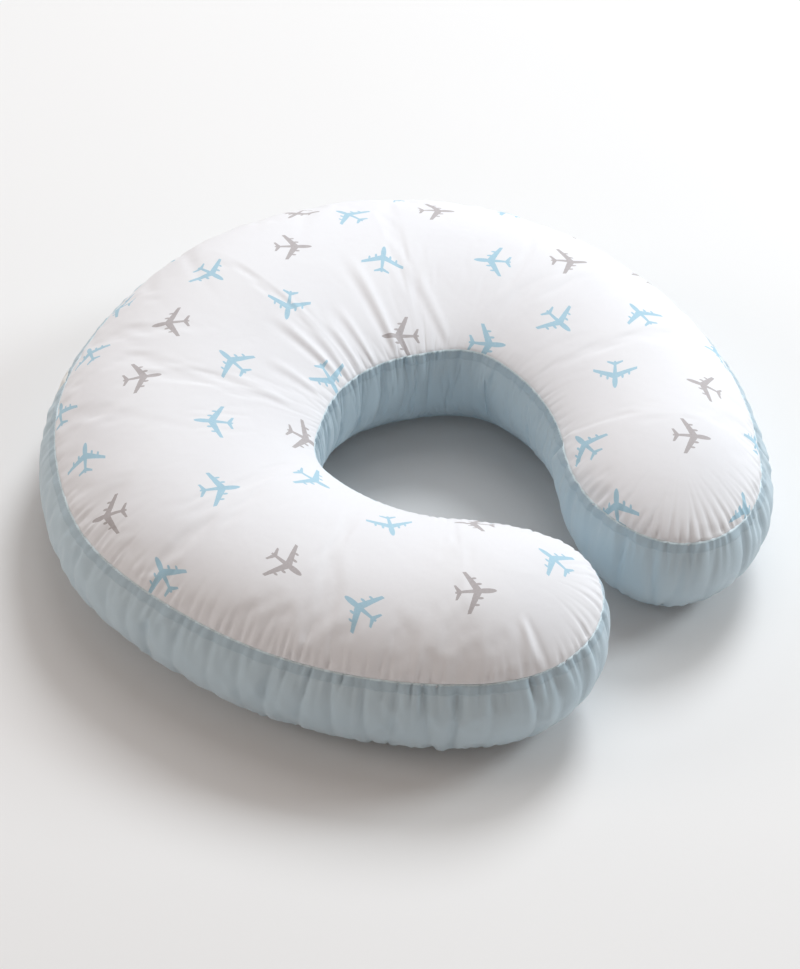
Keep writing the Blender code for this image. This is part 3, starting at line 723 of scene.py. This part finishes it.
# ---- Materials ----
class Shader:
    """A new node material, with short ways to add and join its nodes."""

    def __init__(self, name, colour, roughness, **sockets):
        self.material = bpy.data.materials.new(name)
        self.material.use_nodes = True
        self.tree = self.material.node_tree
        self.surface = self.tree.nodes["Principled BSDF"]
        self.set(Base_Color=(*colour, 1.0), Roughness=roughness, **sockets)

    def set(self, **sockets):
        """Sets or joins sockets of the surface."""
        for socket, value in sockets.items():
            self.join(value, self.surface.inputs[socket.replace("_", " ")])

    def node(self, kind, inputs=(), **settings):
        made = self.tree.nodes.new(kind)
        for name, value in settings.items():
            setattr(made, name, value)
        for socket, value in inputs:
            self.join(value, made.inputs[socket])
        return made

    def join(self, value, socket):
        if isinstance(value, bpy.types.NodeSocket):
            self.tree.links.new(value, socket)
        else:
            socket.default_value = value

    def sum(self, operation, *values):
        return self.node("ShaderNodeMath", enumerate(values), operation=operation).outputs[0]

    def uv(self, name, turn=None):
        found = self.node("ShaderNodeUVMap", uv_map=name).outputs[0]
        return found if turn is None else self.turned(found, turn)

    def place(self):
        return self.node("ShaderNodeTexCoord").outputs["Object"]

    def attribute(self, name):
        return self.node("ShaderNodeAttribute", attribute_name=name).outputs["Fac"]

    def turned(self, vector, turn):
        return self.node("ShaderNodeMapping", ((0, vector), ("Rotation", (0, 0, turn)))).outputs[0]

    def noise(self, scale, detail=3.0, rough=0.55, distortion=0.0):
        inputs = (("Scale", scale), ("Detail", detail), ("Roughness", rough), ("Distortion", distortion))
        return self.node("ShaderNodeTexNoise", (("Vector", self.place()), *inputs)).outputs[0]

    def patches(self, scale, detail=3.0, low=0.0, high=1.0):
        """Soft patches between low and high."""
        return self.range(self.noise(scale, detail), 0.3, 0.7, low, high)

    def wave(self, vector, scale, direction="X", distortion=0.0):
        inputs = (("Vector", vector), ("Scale", scale), ("Distortion", distortion), ("Detail", 1.0))
        return self.node("ShaderNodeTexWave", inputs, bands_direction=direction).outputs["Fac"]

    def range(self, value, low, high, to_low=0.0, to_high=1.0, smooth=False):
        made = self.node(
            "ShaderNodeMapRange",
            ((0, value), (1, low), (2, high), (3, to_low), (4, to_high)),
            interpolation_type="SMOOTHSTEP" if smooth else "LINEAR",
        )
        return made.outputs[0]

    def mix(self, share, first, second):
        made = self.node("ShaderNodeMix", data_type="RGBA")
        for value, number in ((share, 0), (first, 6), (second, 7)):
            self.join((*value, 1.0) if isinstance(value, tuple) else value, made.inputs[number])
        return made.outputs[2]

    def bump(self, height, distance, strength=1.0, under=None):
        inputs = [("Height", height), ("Distance", distance), ("Strength", strength)]
        if under is not None:
            inputs.append(("Normal", under))
        return self.node("ShaderNodeBump", inputs).outputs[0]


# the printed jet, in millimetres from its middle: x ahead, y to either side
BODY_HALF_WIDTH, BODY_TAPER, BODY_TAIL, BODY_NOSE = 1.75, 0.055, 16.0, 9.0
# front edge's x at the middle and its slope, the rear edge's, and half the span
WING = (5.4, -0.60, -1.4, -0.39, 18.4)
TAIL = (-10.4, -0.66, -14.4, -0.34, 6.6)
NOSE = (8.0, 0.0, 8.2, 2.25)  # an ellipse: its middle, half-length and half-width
ENGINES = ((2.9, 6.3, 2.4, 1.05), (-0.5, 11.8, 2.2, 0.95))
INK_BLEED = 0.5
INK_EDGE = (-0.12, 0.16)


def jet_mask(shader):
    """1 inside the printed jet, from the print's map."""
    sums = shader.sum
    parts = shader.node("ShaderNodeSeparateXYZ", ((0, shader.uv("Print")),)).outputs
    wobble = sums("SUBTRACT", shader.noise(900.0, 1.0), 0.5)
    x = sums("ADD", parts[0], sums("MULTIPLY", wobble, INK_BLEED))
    y = sums("ABSOLUTE", parts[1])

    def panel(front, front_slope, rear, rear_slope, half_span):
        ahead = sums("SUBTRACT", sums("MULTIPLY_ADD", y, front_slope, front), x)
        behind = sums("SUBTRACT", x, sums("MULTIPLY_ADD", y, rear_slope, rear))
        return sums("MINIMUM", sums("MINIMUM", ahead, behind), sums("SUBTRACT", half_span, y))

    def pod(at_x, at_y, half_length, half_width):
        ahead = sums("DIVIDE", sums("SUBTRACT", x, at_x), half_length)
        across = sums("DIVIDE", sums("SUBTRACT", y, at_y), half_width)
        gap = sums("ADD", sums("MULTIPLY", ahead, ahead), sums("MULTIPLY", across, across))
        return sums("MULTIPLY", sums("SUBTRACT", 1.0, gap), half_width * 0.5)

    flank = sums("SUBTRACT", sums("MULTIPLY_ADD", x, BODY_TAPER, BODY_HALF_WIDTH), y)
    mask = sums("MINIMUM", flank, sums("ADD", x, BODY_TAIL))
    mask = sums("MINIMUM", mask, sums("SUBTRACT", BODY_NOSE, x))
    for part in (pod(*NOSE), panel(*WING), panel(*TAIL), *(pod(*engine) for engine in ENGINES)):
        mask = sums("MAXIMUM", mask, part)
    return shader.range(mask, *INK_EDGE, smooth=True)


def crumple(shader, amount, scale=14.0):
    """Slight softness of washed cotton, over the weave."""
    return shader.bump(shader.noise(scale, 3.0, 0.5, 0.4), amount)


def plain_weave(shader, threads, depth, under):
    warp, weft = (shader.wave(shader.place(), threads, way, 0.3) for way in "XY")
    return shader.bump(shader.sum("MULTIPLY", warp, weft), depth, 0.7, under)


WHITE, WHITE_LIGHT = (0.81, 0.815, 0.85), (0.83, 0.835, 0.865)
JET_BLUE, JET_GREY = (0.38, 0.60, 0.73), (0.45, 0.42, 0.43)
SATEEN, SATEEN_LIGHT = (0.515, 0.635, 0.71), (0.545, 0.66, 0.73)
# the darker blue is painted shade on the strip over the pressed seam allowance along each seam
# the paler blue is a painted highlight along the band's folded edge at each seam
PRESSED_SHADE_BLUE, FOLD_HIGHLIGHT_BLUE = (0.40, 0.52, 0.60), (0.72, 0.84, 0.89)
THREAD, THREAD_DARK, THREAD_LIGHT = (0.64, 0.78, 0.83), (0.58, 0.73, 0.79), (0.70, 0.82, 0.87)
TAPE, TAPE_DARK, TAPE_LIGHT = (0.50, 0.66, 0.74), (0.44, 0.61, 0.69), (0.55, 0.70, 0.77)
COIL = (0.62, 0.76, 0.82)
METAL, METAL_DARK, METAL_LIGHT = (0.50, 0.50, 0.49), (0.45, 0.45, 0.44), (0.56, 0.56, 0.55)
LABEL, LABEL_DARK, LABEL_LIGHT = (0.84, 0.84, 0.82), (0.80, 0.80, 0.78), (0.87, 0.87, 0.85)
TICKING, TICKING_DARK, TICKING_LIGHT = (0.85, 0.85, 0.83), (0.80, 0.80, 0.78), (0.88, 0.88, 0.86)
PAPER, PAPER_DARK, PAPER_LIGHT = (0.82, 0.82, 0.825), (0.81, 0.81, 0.815), (0.83, 0.83, 0.835)
PRESSED_WIDTH = (0.0082, 0.0098)  # where the pressed seam allowance ends behind the sateen, from the seam; over it the sateen is raised by a bump and darkened with painted shade
PRESSED_WANDER = 0.0022
FOLD_HIGHLIGHT_WIDTH = (0.0009, 0.0016)  # and where the painted highlight along its folded edge ends


def percale():
    shader = Shader("printed_percale", WHITE, 0.88, Sheen_Weight=0.12, Sheen_Roughness=0.45)
    is_grey = shader.sum("GREATER_THAN", shader.attribute("ink"), (BLUE_INK + GREY_INK) / 2)
    inked = shader.mix(is_grey, JET_BLUE, JET_GREY)
    cover = shader.sum("MULTIPLY", jet_mask(shader), shader.patches(700.0, 2.0, 0.86, 1.0))
    cloth = shader.mix(shader.patches(9.0, 2.0), WHITE, WHITE_LIGHT)
    fine = shader.bump(shader.noise(160.0, 3.0, 0.6), 0.00018, 0.6, crumple(shader, 0.0012))
    shader.set(Base_Color=shader.mix(cover, cloth, inked), Normal=plain_weave(shader, 420.0, 0.00006, fine))
    return shader.material


def sateen(name="blue_sateen", seams=True):
    shader = Shader(name, SATEEN, 0.62, Sheen_Weight=0.22, Sheen_Roughness=0.35, Specular_IOR_Level=0.42)
    cloth = shader.mix(shader.patches(12.0), SATEEN, SATEEN_LIGHT)
    soft = crumple(shader, 0.0010, 22.0)
    if seams:
        drop = shader.attribute("seam_drop")
        wander = shader.sum("SUBTRACT", shader.noise(45.0, 2.0), 0.5)
        wandered = shader.sum("ADD", drop, shader.sum("MULTIPLY", wander, PRESSED_WANDER))
        pressed_strip_and_shade = shader.range(wandered, *PRESSED_WIDTH, 1.0, 0.0, smooth=True)
        # painted shade: the strip over the pressed seam allowance is darkened, and the same mask raises it as a
        # real bump below
        cloth = shader.mix(shader.sum("MULTIPLY", pressed_strip_and_shade, 0.5), cloth, PRESSED_SHADE_BLUE)
        # painted highlight: a pale line along the folded edge at each seam, where the fold catches light
        edge = shader.range(drop, *FOLD_HIGHLIGHT_WIDTH, 1.0, 0.0, smooth=True)
        cloth = shader.mix(shader.sum("MULTIPLY", edge, 0.85), cloth, FOLD_HIGHLIGHT_BLUE)
        soft = shader.bump(pressed_strip_and_shade, 0.0005, 0.8, soft)
    threads = shader.wave(shader.uv("Cloth", 0.46), 520.0, "X", 0.6)
    fine = shader.bump(shader.noise(180.0, 3.0, 0.6), 0.00016, 0.5, soft)
    shader.set(Base_Color=cloth, Roughness=shader.patches(60.0, 2.0, 0.55, 0.68))
    shader.set(Normal=shader.bump(threads, 0.00005, 0.6, fine))
    return shader.material


def striped(shader, stripes, dark, light, depth, strength):
    """Colours and embosses a thread's twist or a fabric's ribs."""
    shader.set(Base_Color=shader.mix(stripes, dark, light), Normal=shader.bump(stripes, depth, strength))
    return shader.material


def thread_material():
    shader = Shader("pale_blue_thread", THREAD, 0.5, Sheen_Weight=0.3)
    twist = shader.wave(shader.turned(shader.place(), 0.7), 700.0, "DIAGONAL")
    return striped(shader, twist, THREAD_DARK, THREAD_LIGHT, 0.00008, 0.8)


def tape_material():
    shader = Shader("zip_tape", TAPE, 0.8, Sheen_Weight=0.15)
    twill = shader.wave(shader.uv("Cloth", 0.785), 330.0, "X", 0.2)
    return striped(shader, twill, TAPE_DARK, TAPE_LIGHT, 0.00018, 0.9)


def coil_material():
    shader = Shader("zip_coil", COIL, 0.32, Coat_Weight=0.15)
    shader.set(Roughness=shader.patches(400.0, 3.0, 0.26, 0.42))
    return shader.material


def metal_material():
    shader = Shader("zip_metal", METAL, 0.3, Metallic=1.0)
    worn = shader.noise(300.0, 4.0, 0.6)
    shader.set(Base_Color=shader.mix(shader.range(worn, 0.35, 0.65), METAL_DARK, METAL_LIGHT))
    shader.set(Roughness=shader.range(worn, 0.3, 0.7, 0.2, 0.4))
    shader.set(Normal=shader.bump(shader.noise(900.0, 2.0), 0.00005, 0.4))
    return shader.material


def label_material():
    shader = Shader("label_satin", LABEL, 0.38, Sheen_Weight=0.1, Specular_IOR_Level=0.6)
    ribs = shader.wave(shader.uv("Cloth"), 600.0, "Y", 0.1)
    return striped(shader, ribs, LABEL_DARK, LABEL_LIGHT, 0.00006, 0.8)


def ticking_material():
    shader = Shader("ticking", TICKING, 0.9, Sheen_Weight=0.1)
    shader.set(Base_Color=shader.mix(shader.noise(40.0), TICKING_DARK, TICKING_LIGHT))
    shader.set(Normal=plain_weave(shader, 300.0, 0.0001, crumple(shader, 0.001)))
    return shader.material


def floor_material():
    shader = Shader("white_paper", PAPER, 0.95)
    shader.set(Base_Color=shader.mix(shader.patches(1.2, 2.0), PAPER_DARK, PAPER_LIGHT))
    shader.set(Normal=shader.bump(shader.noise(220.0), 0.0002, 0.15))
    return shader.material


# ---- Pieces ----
def dress(piece, finish, replaced):
    piece.data.materials.clear()
    piece.data.materials.append(finish)
    if replaced:
        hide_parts(*replaced)
    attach(piece, "pillow")


def sew(name, points, finish, slot, replaced, closed=False, thickness=CLOTH, padded=True, **grid):
    """A piece of cloth from a grid of points. The grid is its outer face."""
    piece = grid_object(name, points, closed, **grid)
    solidify = piece.modifiers.new("Cloth", "SOLIDIFY")
    solidify.thickness = thickness
    solidify.offset = -1.0
    solidify.use_even_offset = False
    dress(piece, finish, (replaced,))
    return piece


TUCK_DEPTH = LAP + 0.0002


def sunk(points, distance):
    """The points, with their edge dipped a little into the seam."""
    return pushed(points, -SEAM_DIP * np.exp(-distance / SEAM_DIP_LENGTH))


def tucked(row):
    """A row of the band moved in behind it, where the neighbouring panel's edge ends."""
    return (BAND[:, row] - normals_of(BAND)[:, row] * TUCK_DEPTH)[:, None]


def make_top(finish):
    """The printed panel. Its edge runs in behind the band's folded edge."""
    points = np.concatenate((sunk(TOP, distance_back(TOP)), tucked(2)), 1)
    rows = {"spine_rows": (0,), "mate": FINE.mate}
    piece = sew("cover_top", points, finish, "printed_percale", "cover_top_panel", True, **rows)
    lay_print(piece, *print_frames(SMOOTH_TOP))


EDGE_ROLL, EDGE_ROLL_AT, EDGE_ROLL_WIDTH = 0.00035, 0.0006, 0.0009


def rolled(points):
    """The band with its folded edges standing a little proud along both seams.

    Also each point's distance below the top seam or above the lower one, whichever is less, and the cloth's map.
    """
    down = distance_along(points)
    drop = np.minimum(down, down[:, -1:] - down)
    run = arc_lengths(points[:, points.shape[1] // 2])[:-1]
    cloth = np.stack((np.broadcast_to(run[:, None], down.shape), down), 2)
    roll = EDGE_ROLL * np.exp(-(((drop - EDGE_ROLL_AT) / EDGE_ROLL_WIDTH) ** 2))
    return pushed(points, roll), drop, cloth


ROLLED, DROP, BAND_MAP = rolled(BAND)


def make_band(finish):
    keep = np.arange(BACK_CELLS, FINE.count - BACK_CELLS + 1)
    layers = {"fields": {"seam_drop": DROP[keep]}, "maps": {"Cloth": BAND_MAP[keep]}}
    sew("cover_band", ROLLED[keep], finish, "blue_sateen", "cover_side_band", **layers)


CLOSED_FROM = 0.94  # share of the way to the end of the strips at which their folds start to meet
CLOSED_SHARE = 0.002  # of the band's height that stays between each fold and the zip's centre line
FOLD_SHARE = 0.01  # of the band's height, at least, between a strip's fold and its next row


def edged(grid, rows, edge, side):
    """Some rows of a grid with an edge row after them on the upper strip, and before them on the lower one."""
    return np.concatenate((grid[:, rows], edge[:, None])[::side], 1)


def make_strips(finish):
    """The band's two halves behind the zip, with their edges folded along it."""
    keep = np.arange(-BACK_CELLS, BACK_CELLS + 1) % FINE.count
    points, drop, cloth = ROLLED[keep], DROP[keep], BAND_MAP[keep]
    shares = band_shares(BAND_FINE)
    closing = np.maximum(np.abs(np.arange(len(keep)) - BACK_CELLS) / BACK_CELLS, CLOSED_FROM)
    closing = (closing - CLOSED_FROM) / (1 - CLOSED_FROM)
    for name, side in (("upper", 1), ("lower", -1)):
        stop = ZIP_SHARE - side * STRIP_REACH / BAND_FALL
        rows = np.nonzero(side * (stop - shares) > FOLD_SHARE)[0]
        last = rows[::side][-1]
        reach = stop + (ZIP_SHARE - side * CLOSED_SHARE - stop) * closing
        t = ((reach - shares[last]) / (shares[last + side] - shares[last]))[:, None]
        folded = points[:, last] + (points[:, last + side] - points[:, last]) * t
        fields = {"seam_drop": edged(drop, rows, drop[:, last], side)}
        maps = {"Cloth": edged(cloth, rows, cloth[:, last], side)}
        strip, node = edged(points, rows, folded, side), f"cover_zip_strip_{name}"
        sew(f"zip_strip_{name}", strip, finish, "blue_sateen", node, fields=fields, maps=maps)


def make_bottom(finish):
    points = np.concatenate((tucked(-3), sunk(UNDER, distance_along(UNDER))), 1)
    points[..., 2] = np.maximum(points[..., 2], 0.0)
    rows = {"spine_rows": (points.shape[1] - 1,), "mate": FINE.mate, "maps": {"Cloth": points[..., :2]}}
    sew("cover_bottom", points, finish, "blue_sateen", "cover_bottom_panel", True, **rows)


INNER_INSET = 0.011


def make_inner(finish):
    """The stuffed pillow inside the cover."""
    points = leaned(COARSE, whole_grid(COARSE, TOP_ROWS, BAND_ROWS, UNDER_ROWS, INNER_INSET))
    piece = grid_object("inner_pillow", points, True, (0, points.shape[1] - 1), COARSE.mate)
    nodes = ("inner_case_top", "inner_case_bottom", "inner_case_band", "fibre_fill")
    dress(piece, finish, nodes)


STITCH_PITCH, STITCH_LENGTH, STITCH_RADIUS = 0.0031, 0.0022, 0.00016
STITCH_INSET = 0.0016  # from the seam
STITCH_SIDES, STITCH_RINGS = 5, 5
STITCH_RISE, STITCH_SINK = 1.2, 0.6  # in thread radii, at its middle and its ends
STITCH_END, STITCH_POWER = 0.35, 0.6  # share of the thickness left at its ends, and how soon it fills out
STITCH_STEP = 0.0004  # to the point that gives a stitch its way along the seam


def stitch_rings(line, normal):
    """Rings of points for small stitches along a line, each a low rounded thread that dips in at its ends."""
    run = np.concatenate(((0.0,), np.cumsum(np.linalg.norm(np.diff(line, axis=0), axis=1))))
    count = int(run[-1] / STITCH_PITCH)
    share = np.arange(STITCH_RINGS) / (STITCH_RINGS - 1)
    at = ((np.arange(count) + 0.5) * run[-1] / count)[:, None] + (share - 0.5) * STITCH_LENGTH
    here, up = between(at, run, line), unit(between(at, run, normal))
    ahead = unit(between(at + STITCH_STEP, run, line) - here)
    arch = np.maximum(np.sin(math.pi * share), 0.0)[:, None]
    lift = STITCH_RADIUS * (STITCH_RISE * arch - STITCH_SINK)
    thin = STITCH_RADIUS * (STITCH_END + (1 - STITCH_END) * arch**STITCH_POWER)
    turn = 2 * math.pi * np.arange(STITCH_SIDES) / STITCH_SIDES
    rise, swing = lift + thin * np.cos(turn), thin * np.sin(turn)
    rings = up[:, :, None] * rise[..., None] + np.cross(up, ahead)[:, :, None] * swing[..., None]
    return here[:, :, None] + rings


def tube_faces(index):
    """The sides and ends of a tube, from the points [ring, corner] of its rings."""
    after = np.roll(index, -1, 1)
    faces = np.stack((index[:-1], after[:-1], after[1:], index[1:]), 2).reshape(-1, 4).tolist()
    return [*faces, index[0, ::-1].tolist(), index[-1].tolist()]


def make_stitches(finish):
    normal = normals_of(ROLLED)
    rings = []
    for way, row in ((1, 1), (-1, -2)):
        rows = ROLLED[:, ::way]
        line = np.array([between(STITCH_INSET, *known) for known in zip(distance_along(rows), rows)])
        rings.append(stitch_rings(*(np.concatenate((grid, grid[:1])) for grid in (line, normal[:, row]))))
    rings = np.concatenate(rings)
    index = np.arange(rings.size // 3).reshape(rings.shape[:3])
    faces = [face for one in index for face in tube_faces(one)]
    dress(new_mesh("seam_stitches", rings.reshape(-1, 3), faces), finish, ())


def zip_profile(reach, depth):
    """(radius, height) of the band at a height above the zip's centre line, moved inwards by depth."""
    share = ZIP_SHARE - reach / BAND_FALL
    at, height = BACK_CUT.band(share)
    out_per_share = BACK_CUT.low_reach - BACK_CUT.seam_reach + 4 * BACK_CUT.bulge * (1 - 2 * share)
    length = np.hypot(out_per_share, BAND_FALL)
    return BACK_RADIUS + at - depth * BAND_FALL / length, height - depth * out_per_share / length


TAPE_MEETS = 0.0001  # the woven edges all but meet under the coils, so that no gap shows
TAPE_TUCK_ANGLE = BACK_ANGLE  # the tapes' ends run on behind the closed ends of the strips
TAPE_ROWS, TAPE_STEPS = 6, 120


def make_tapes(finish):
    """Each tape is swept round the back arc's centre, and its rows run from the top down."""
    angles = np.linspace(-TAPE_TUCK_ANGLE, TAPE_TUCK_ANGLE, TAPE_STEPS + 1)
    for name, side in (("upper", 1), ("lower", -1)):
        reaches = side * (TAPE_MEETS + (TAPE_REACH - TAPE_MEETS) * np.arange(TAPE_ROWS + 1) / TAPE_ROWS)
        radius, height = zip_profile(reaches[::-side], LAP)
        parts = (np.outer(np.sin(angles), radius), BACK_CENTRE_Y + np.outer(np.cos(angles), radius))
        height = np.broadcast_to(height, parts[0].shape)
        points = np.stack((*parts, height), 2)
        cloth = np.stack((np.broadcast_to((angles * ZIP_RADIUS)[:, None], height.shape), height), 2)
        look = {"thickness": TAPE_THICKNESS, "padded": False, "maps": {"Cloth": cloth}}
        sew(f"zip_tape_{name}_woven", points, finish, "zip_tape", f"zip_tape_{name}", **look)


COIL_PITCH = 0.00115
COIL_WIRE = 0.00027
COIL_BITE = 0.0008  # how much wider each spiral is than in the CAD, so that the two mesh


COIL_SIDES, COIL_POINTS = 5, 10  # round the thread, and along one turn of it


def make_coils(finish):
    """Each side's spiral, a thread wound over its cord, as a tube along a flattened helix."""
    count = int(2 * ZIP_HALF_ANGLE * ZIP_RADIUS / COIL_PITCH) * COIL_POINTS + 1
    turn = 2 * math.pi * np.arange(count) / COIL_POINTS
    angle = -ZIP_HALF_ANGLE + 2 * ZIP_HALF_ANGLE * np.arange(count) / (count - 1)
    radius = ZIP_RADIUS + COIL_TOP - COIL_THICKNESS / 2 + (COIL_THICKNESS / 2 - COIL_WIRE) * np.sin(turn)
    swing = ((COIL_WIDTH + COIL_BITE) / 2 - COIL_WIRE) * np.cos(turn)
    for name, side in (("upper", 1), ("lower", -1)):
        height = ZIP_HEIGHT + side * (COIL_INNER + (COIL_WIDTH - COIL_BITE) / 2) + swing
        line = np.stack((radius * np.sin(angle), BACK_CENTRE_Y + radius * np.cos(angle), height), 1)
        spiral = tube(f"zip_coil_{name}_spiral", line, COIL_WIRE, COIL_SIDES)
        dress(spiral, finish, (f"zip_coil_{name}",))


def tube(name, line, radius, sides):
    """A closed tube along a line of points."""
    ahead = unit(np.gradient(line, axis=0))
    up = unit(np.cross(ahead, (0.0, 0.0, 1.0)))
    turns = (2 * math.pi * np.arange(sides) / sides)[None, :, None]
    ringed = np.cos(turns) * up[:, None] + np.sin(turns) * np.cross(ahead, up)[:, None]
    ringed = line[:, None] + radius * ringed
    return new_mesh(name, ringed.reshape(-1, 3), tube_faces(np.arange(len(line) * sides).reshape(-1, sides)))


LABEL_CELLS, LABEL_ROWS = 9, 8  # fine cells along the seam that make its 16 mm, and rows down the strip
LABEL_OFF, LABEL_LIFT = 0.0004, 0.0006  # it lies on the strip, and stands a little further off at its free end
LABEL_THICKNESS = 0.0003
LABEL_WAVE, LABEL_WAVE_TURN = 0.35, 2.2 * math.pi


def make_label(finish):
    """A blank folded label that lies on the upper strip, sewn in where the strip joins the band."""
    keep = FINE.count - BACK_CELLS + np.arange(LABEL_CELLS + 1)
    top = BAND_FALL * ZIP_SHARE - LABEL_MARGIN
    wanted = ZIP_SHARE - np.linspace(top, STRIP_REACH + LABEL_MARGIN, LABEL_ROWS + 1) / BAND_FALL
    shares = band_shares(BAND_FINE)
    points, cloth = (
        np.array([between(wanted, shares, grid[station]) for station in keep]) for grid in (ROLLED, BAND_MAP)
    )
    free = (np.arange(LABEL_CELLS + 1) / LABEL_CELLS)[:, None] ** 2
    wave = 1 + LABEL_WAVE * np.sin(np.arange(LABEL_ROWS + 1) / LABEL_ROWS * LABEL_WAVE_TURN)
    off = LABEL_OFF + LABEL_LIFT * free * wave
    points = points + normals_of(points, False) * off[..., None]
    look = {"thickness": LABEL_THICKNESS, "padded": False, "maps": {"Cloth": cloth}}
    sew("care_label", points, finish, "label_satin", "cover_care_label", **look)


def make_pieces():
    blue = sateen()
    make_top(percale())
    make_band(blue)
    make_strips(blue)
    make_bottom(sateen("blue_sateen_underside", seams=False))
    make_inner(ticking_material())
    make_stitches(thread_material())
    make_tapes(tape_material())
    make_coils(coil_material())
    make_label(label_material())
    metal = metal_material()
    for name in ("zip_slider", "zip_pull", "zip_top_stop_upper", "zip_top_stop_lower", "zip_bottom_stop"):
        node = frame["nodes"][name]
        node.data.materials.clear()
        node.data.materials.append(metal)


# ---- Stage ----
CAMERA_AZIMUTH = math.radians(-48.717)
CAMERA_ELEVATION = math.radians(44.334)
CAMERA_DISTANCE = 2.288
CAMERA_TARGET = Vector((-0.03955, -0.0375, 0.07))
CAMERA_ROLL = math.radians(3.386)
CAMERA_LENS = 102.54  # on a 36 mm frame's longer side


def make_camera():
    level = math.cos(CAMERA_ELEVATION)
    back = Vector(
        (math.sin(CAMERA_AZIMUTH) * level, -math.cos(CAMERA_AZIMUTH) * level, math.sin(CAMERA_ELEVATION))
    )
    right = Vector((0, 0, 1)).cross(back).normalized()
    up = back.cross(right)
    turned = right * math.cos(CAMERA_ROLL) + up * math.sin(CAMERA_ROLL)
    upright = up * math.cos(CAMERA_ROLL) - right * math.sin(CAMERA_ROLL)
    data = bpy.data.cameras.new("camera")
    data.lens, data.sensor_width, data.clip_end = CAMERA_LENS, 36, 50
    made = bpy.data.objects.new("camera", data)
    bpy.context.scene.collection.objects.link(made)
    place = Matrix.Translation(CAMERA_TARGET + back * CAMERA_DISTANCE)
    made.matrix_world = place @ Matrix((turned, upright, back)).transposed().to_4x4()
    bpy.context.scene.camera = made


# each light's place, size, power and colour
LIGHTS = {
    "key": ((3.0, 1.05, 3.7), 1.9, 138, (0.93, 0.97, 1.0)),
    "top": ((0.9, 0.6, 3.2), 2.2, 22, (0.92, 0.97, 1.0)),
    "left": ((-2.7, 2.4, 1.7), 1.6, 27, (1.0, 0.95, 0.90)),
    "right": ((2.3, -1.4, 1.7), 1.0, 34, (0.84, 0.95, 1.0)),
}
LIGHT_TARGET = Vector((0, 0, 0.05))
SKY_COLOUR, SKY_STRENGTH = (1.0, 0.83, 0.72, 1.0), 0.30
FLOOR_SIZE, FLOOR_HEIGHT = 14, -0.0004  # just clear of the underside, so that no faces lie in one plane


def make_stage():
    bpy.ops.mesh.primitive_plane_add(size=FLOOR_SIZE, location=(0, 0, FLOOR_HEIGHT))
    floor = bpy.context.object
    floor.name = "floor"
    floor.data.materials.append(floor_material())
    for name, (place, size, power, colour) in LIGHTS.items():
        data = bpy.data.lights.new(name, "AREA")
        data.shape, data.size, data.energy, data.color = "DISK", size, power, colour
        made = bpy.data.objects.new(name, data)
        made.location = place
        made.rotation_euler = (LIGHT_TARGET - Vector(place)).to_track_quat("-Z", "Y").to_euler()
        bpy.context.scene.collection.objects.link(made)
    world = bpy.data.worlds.new("studio")
    bpy.context.scene.world = world
    world.use_nodes = True
    sky = world.node_tree.nodes["Background"]
    sky.inputs[0].default_value, sky.inputs[1].default_value = SKY_COLOUR, SKY_STRENGTH
    bpy.context.scene.view_settings.view_transform = "Standard"


make_camera()
make_stage()
make_pieces()
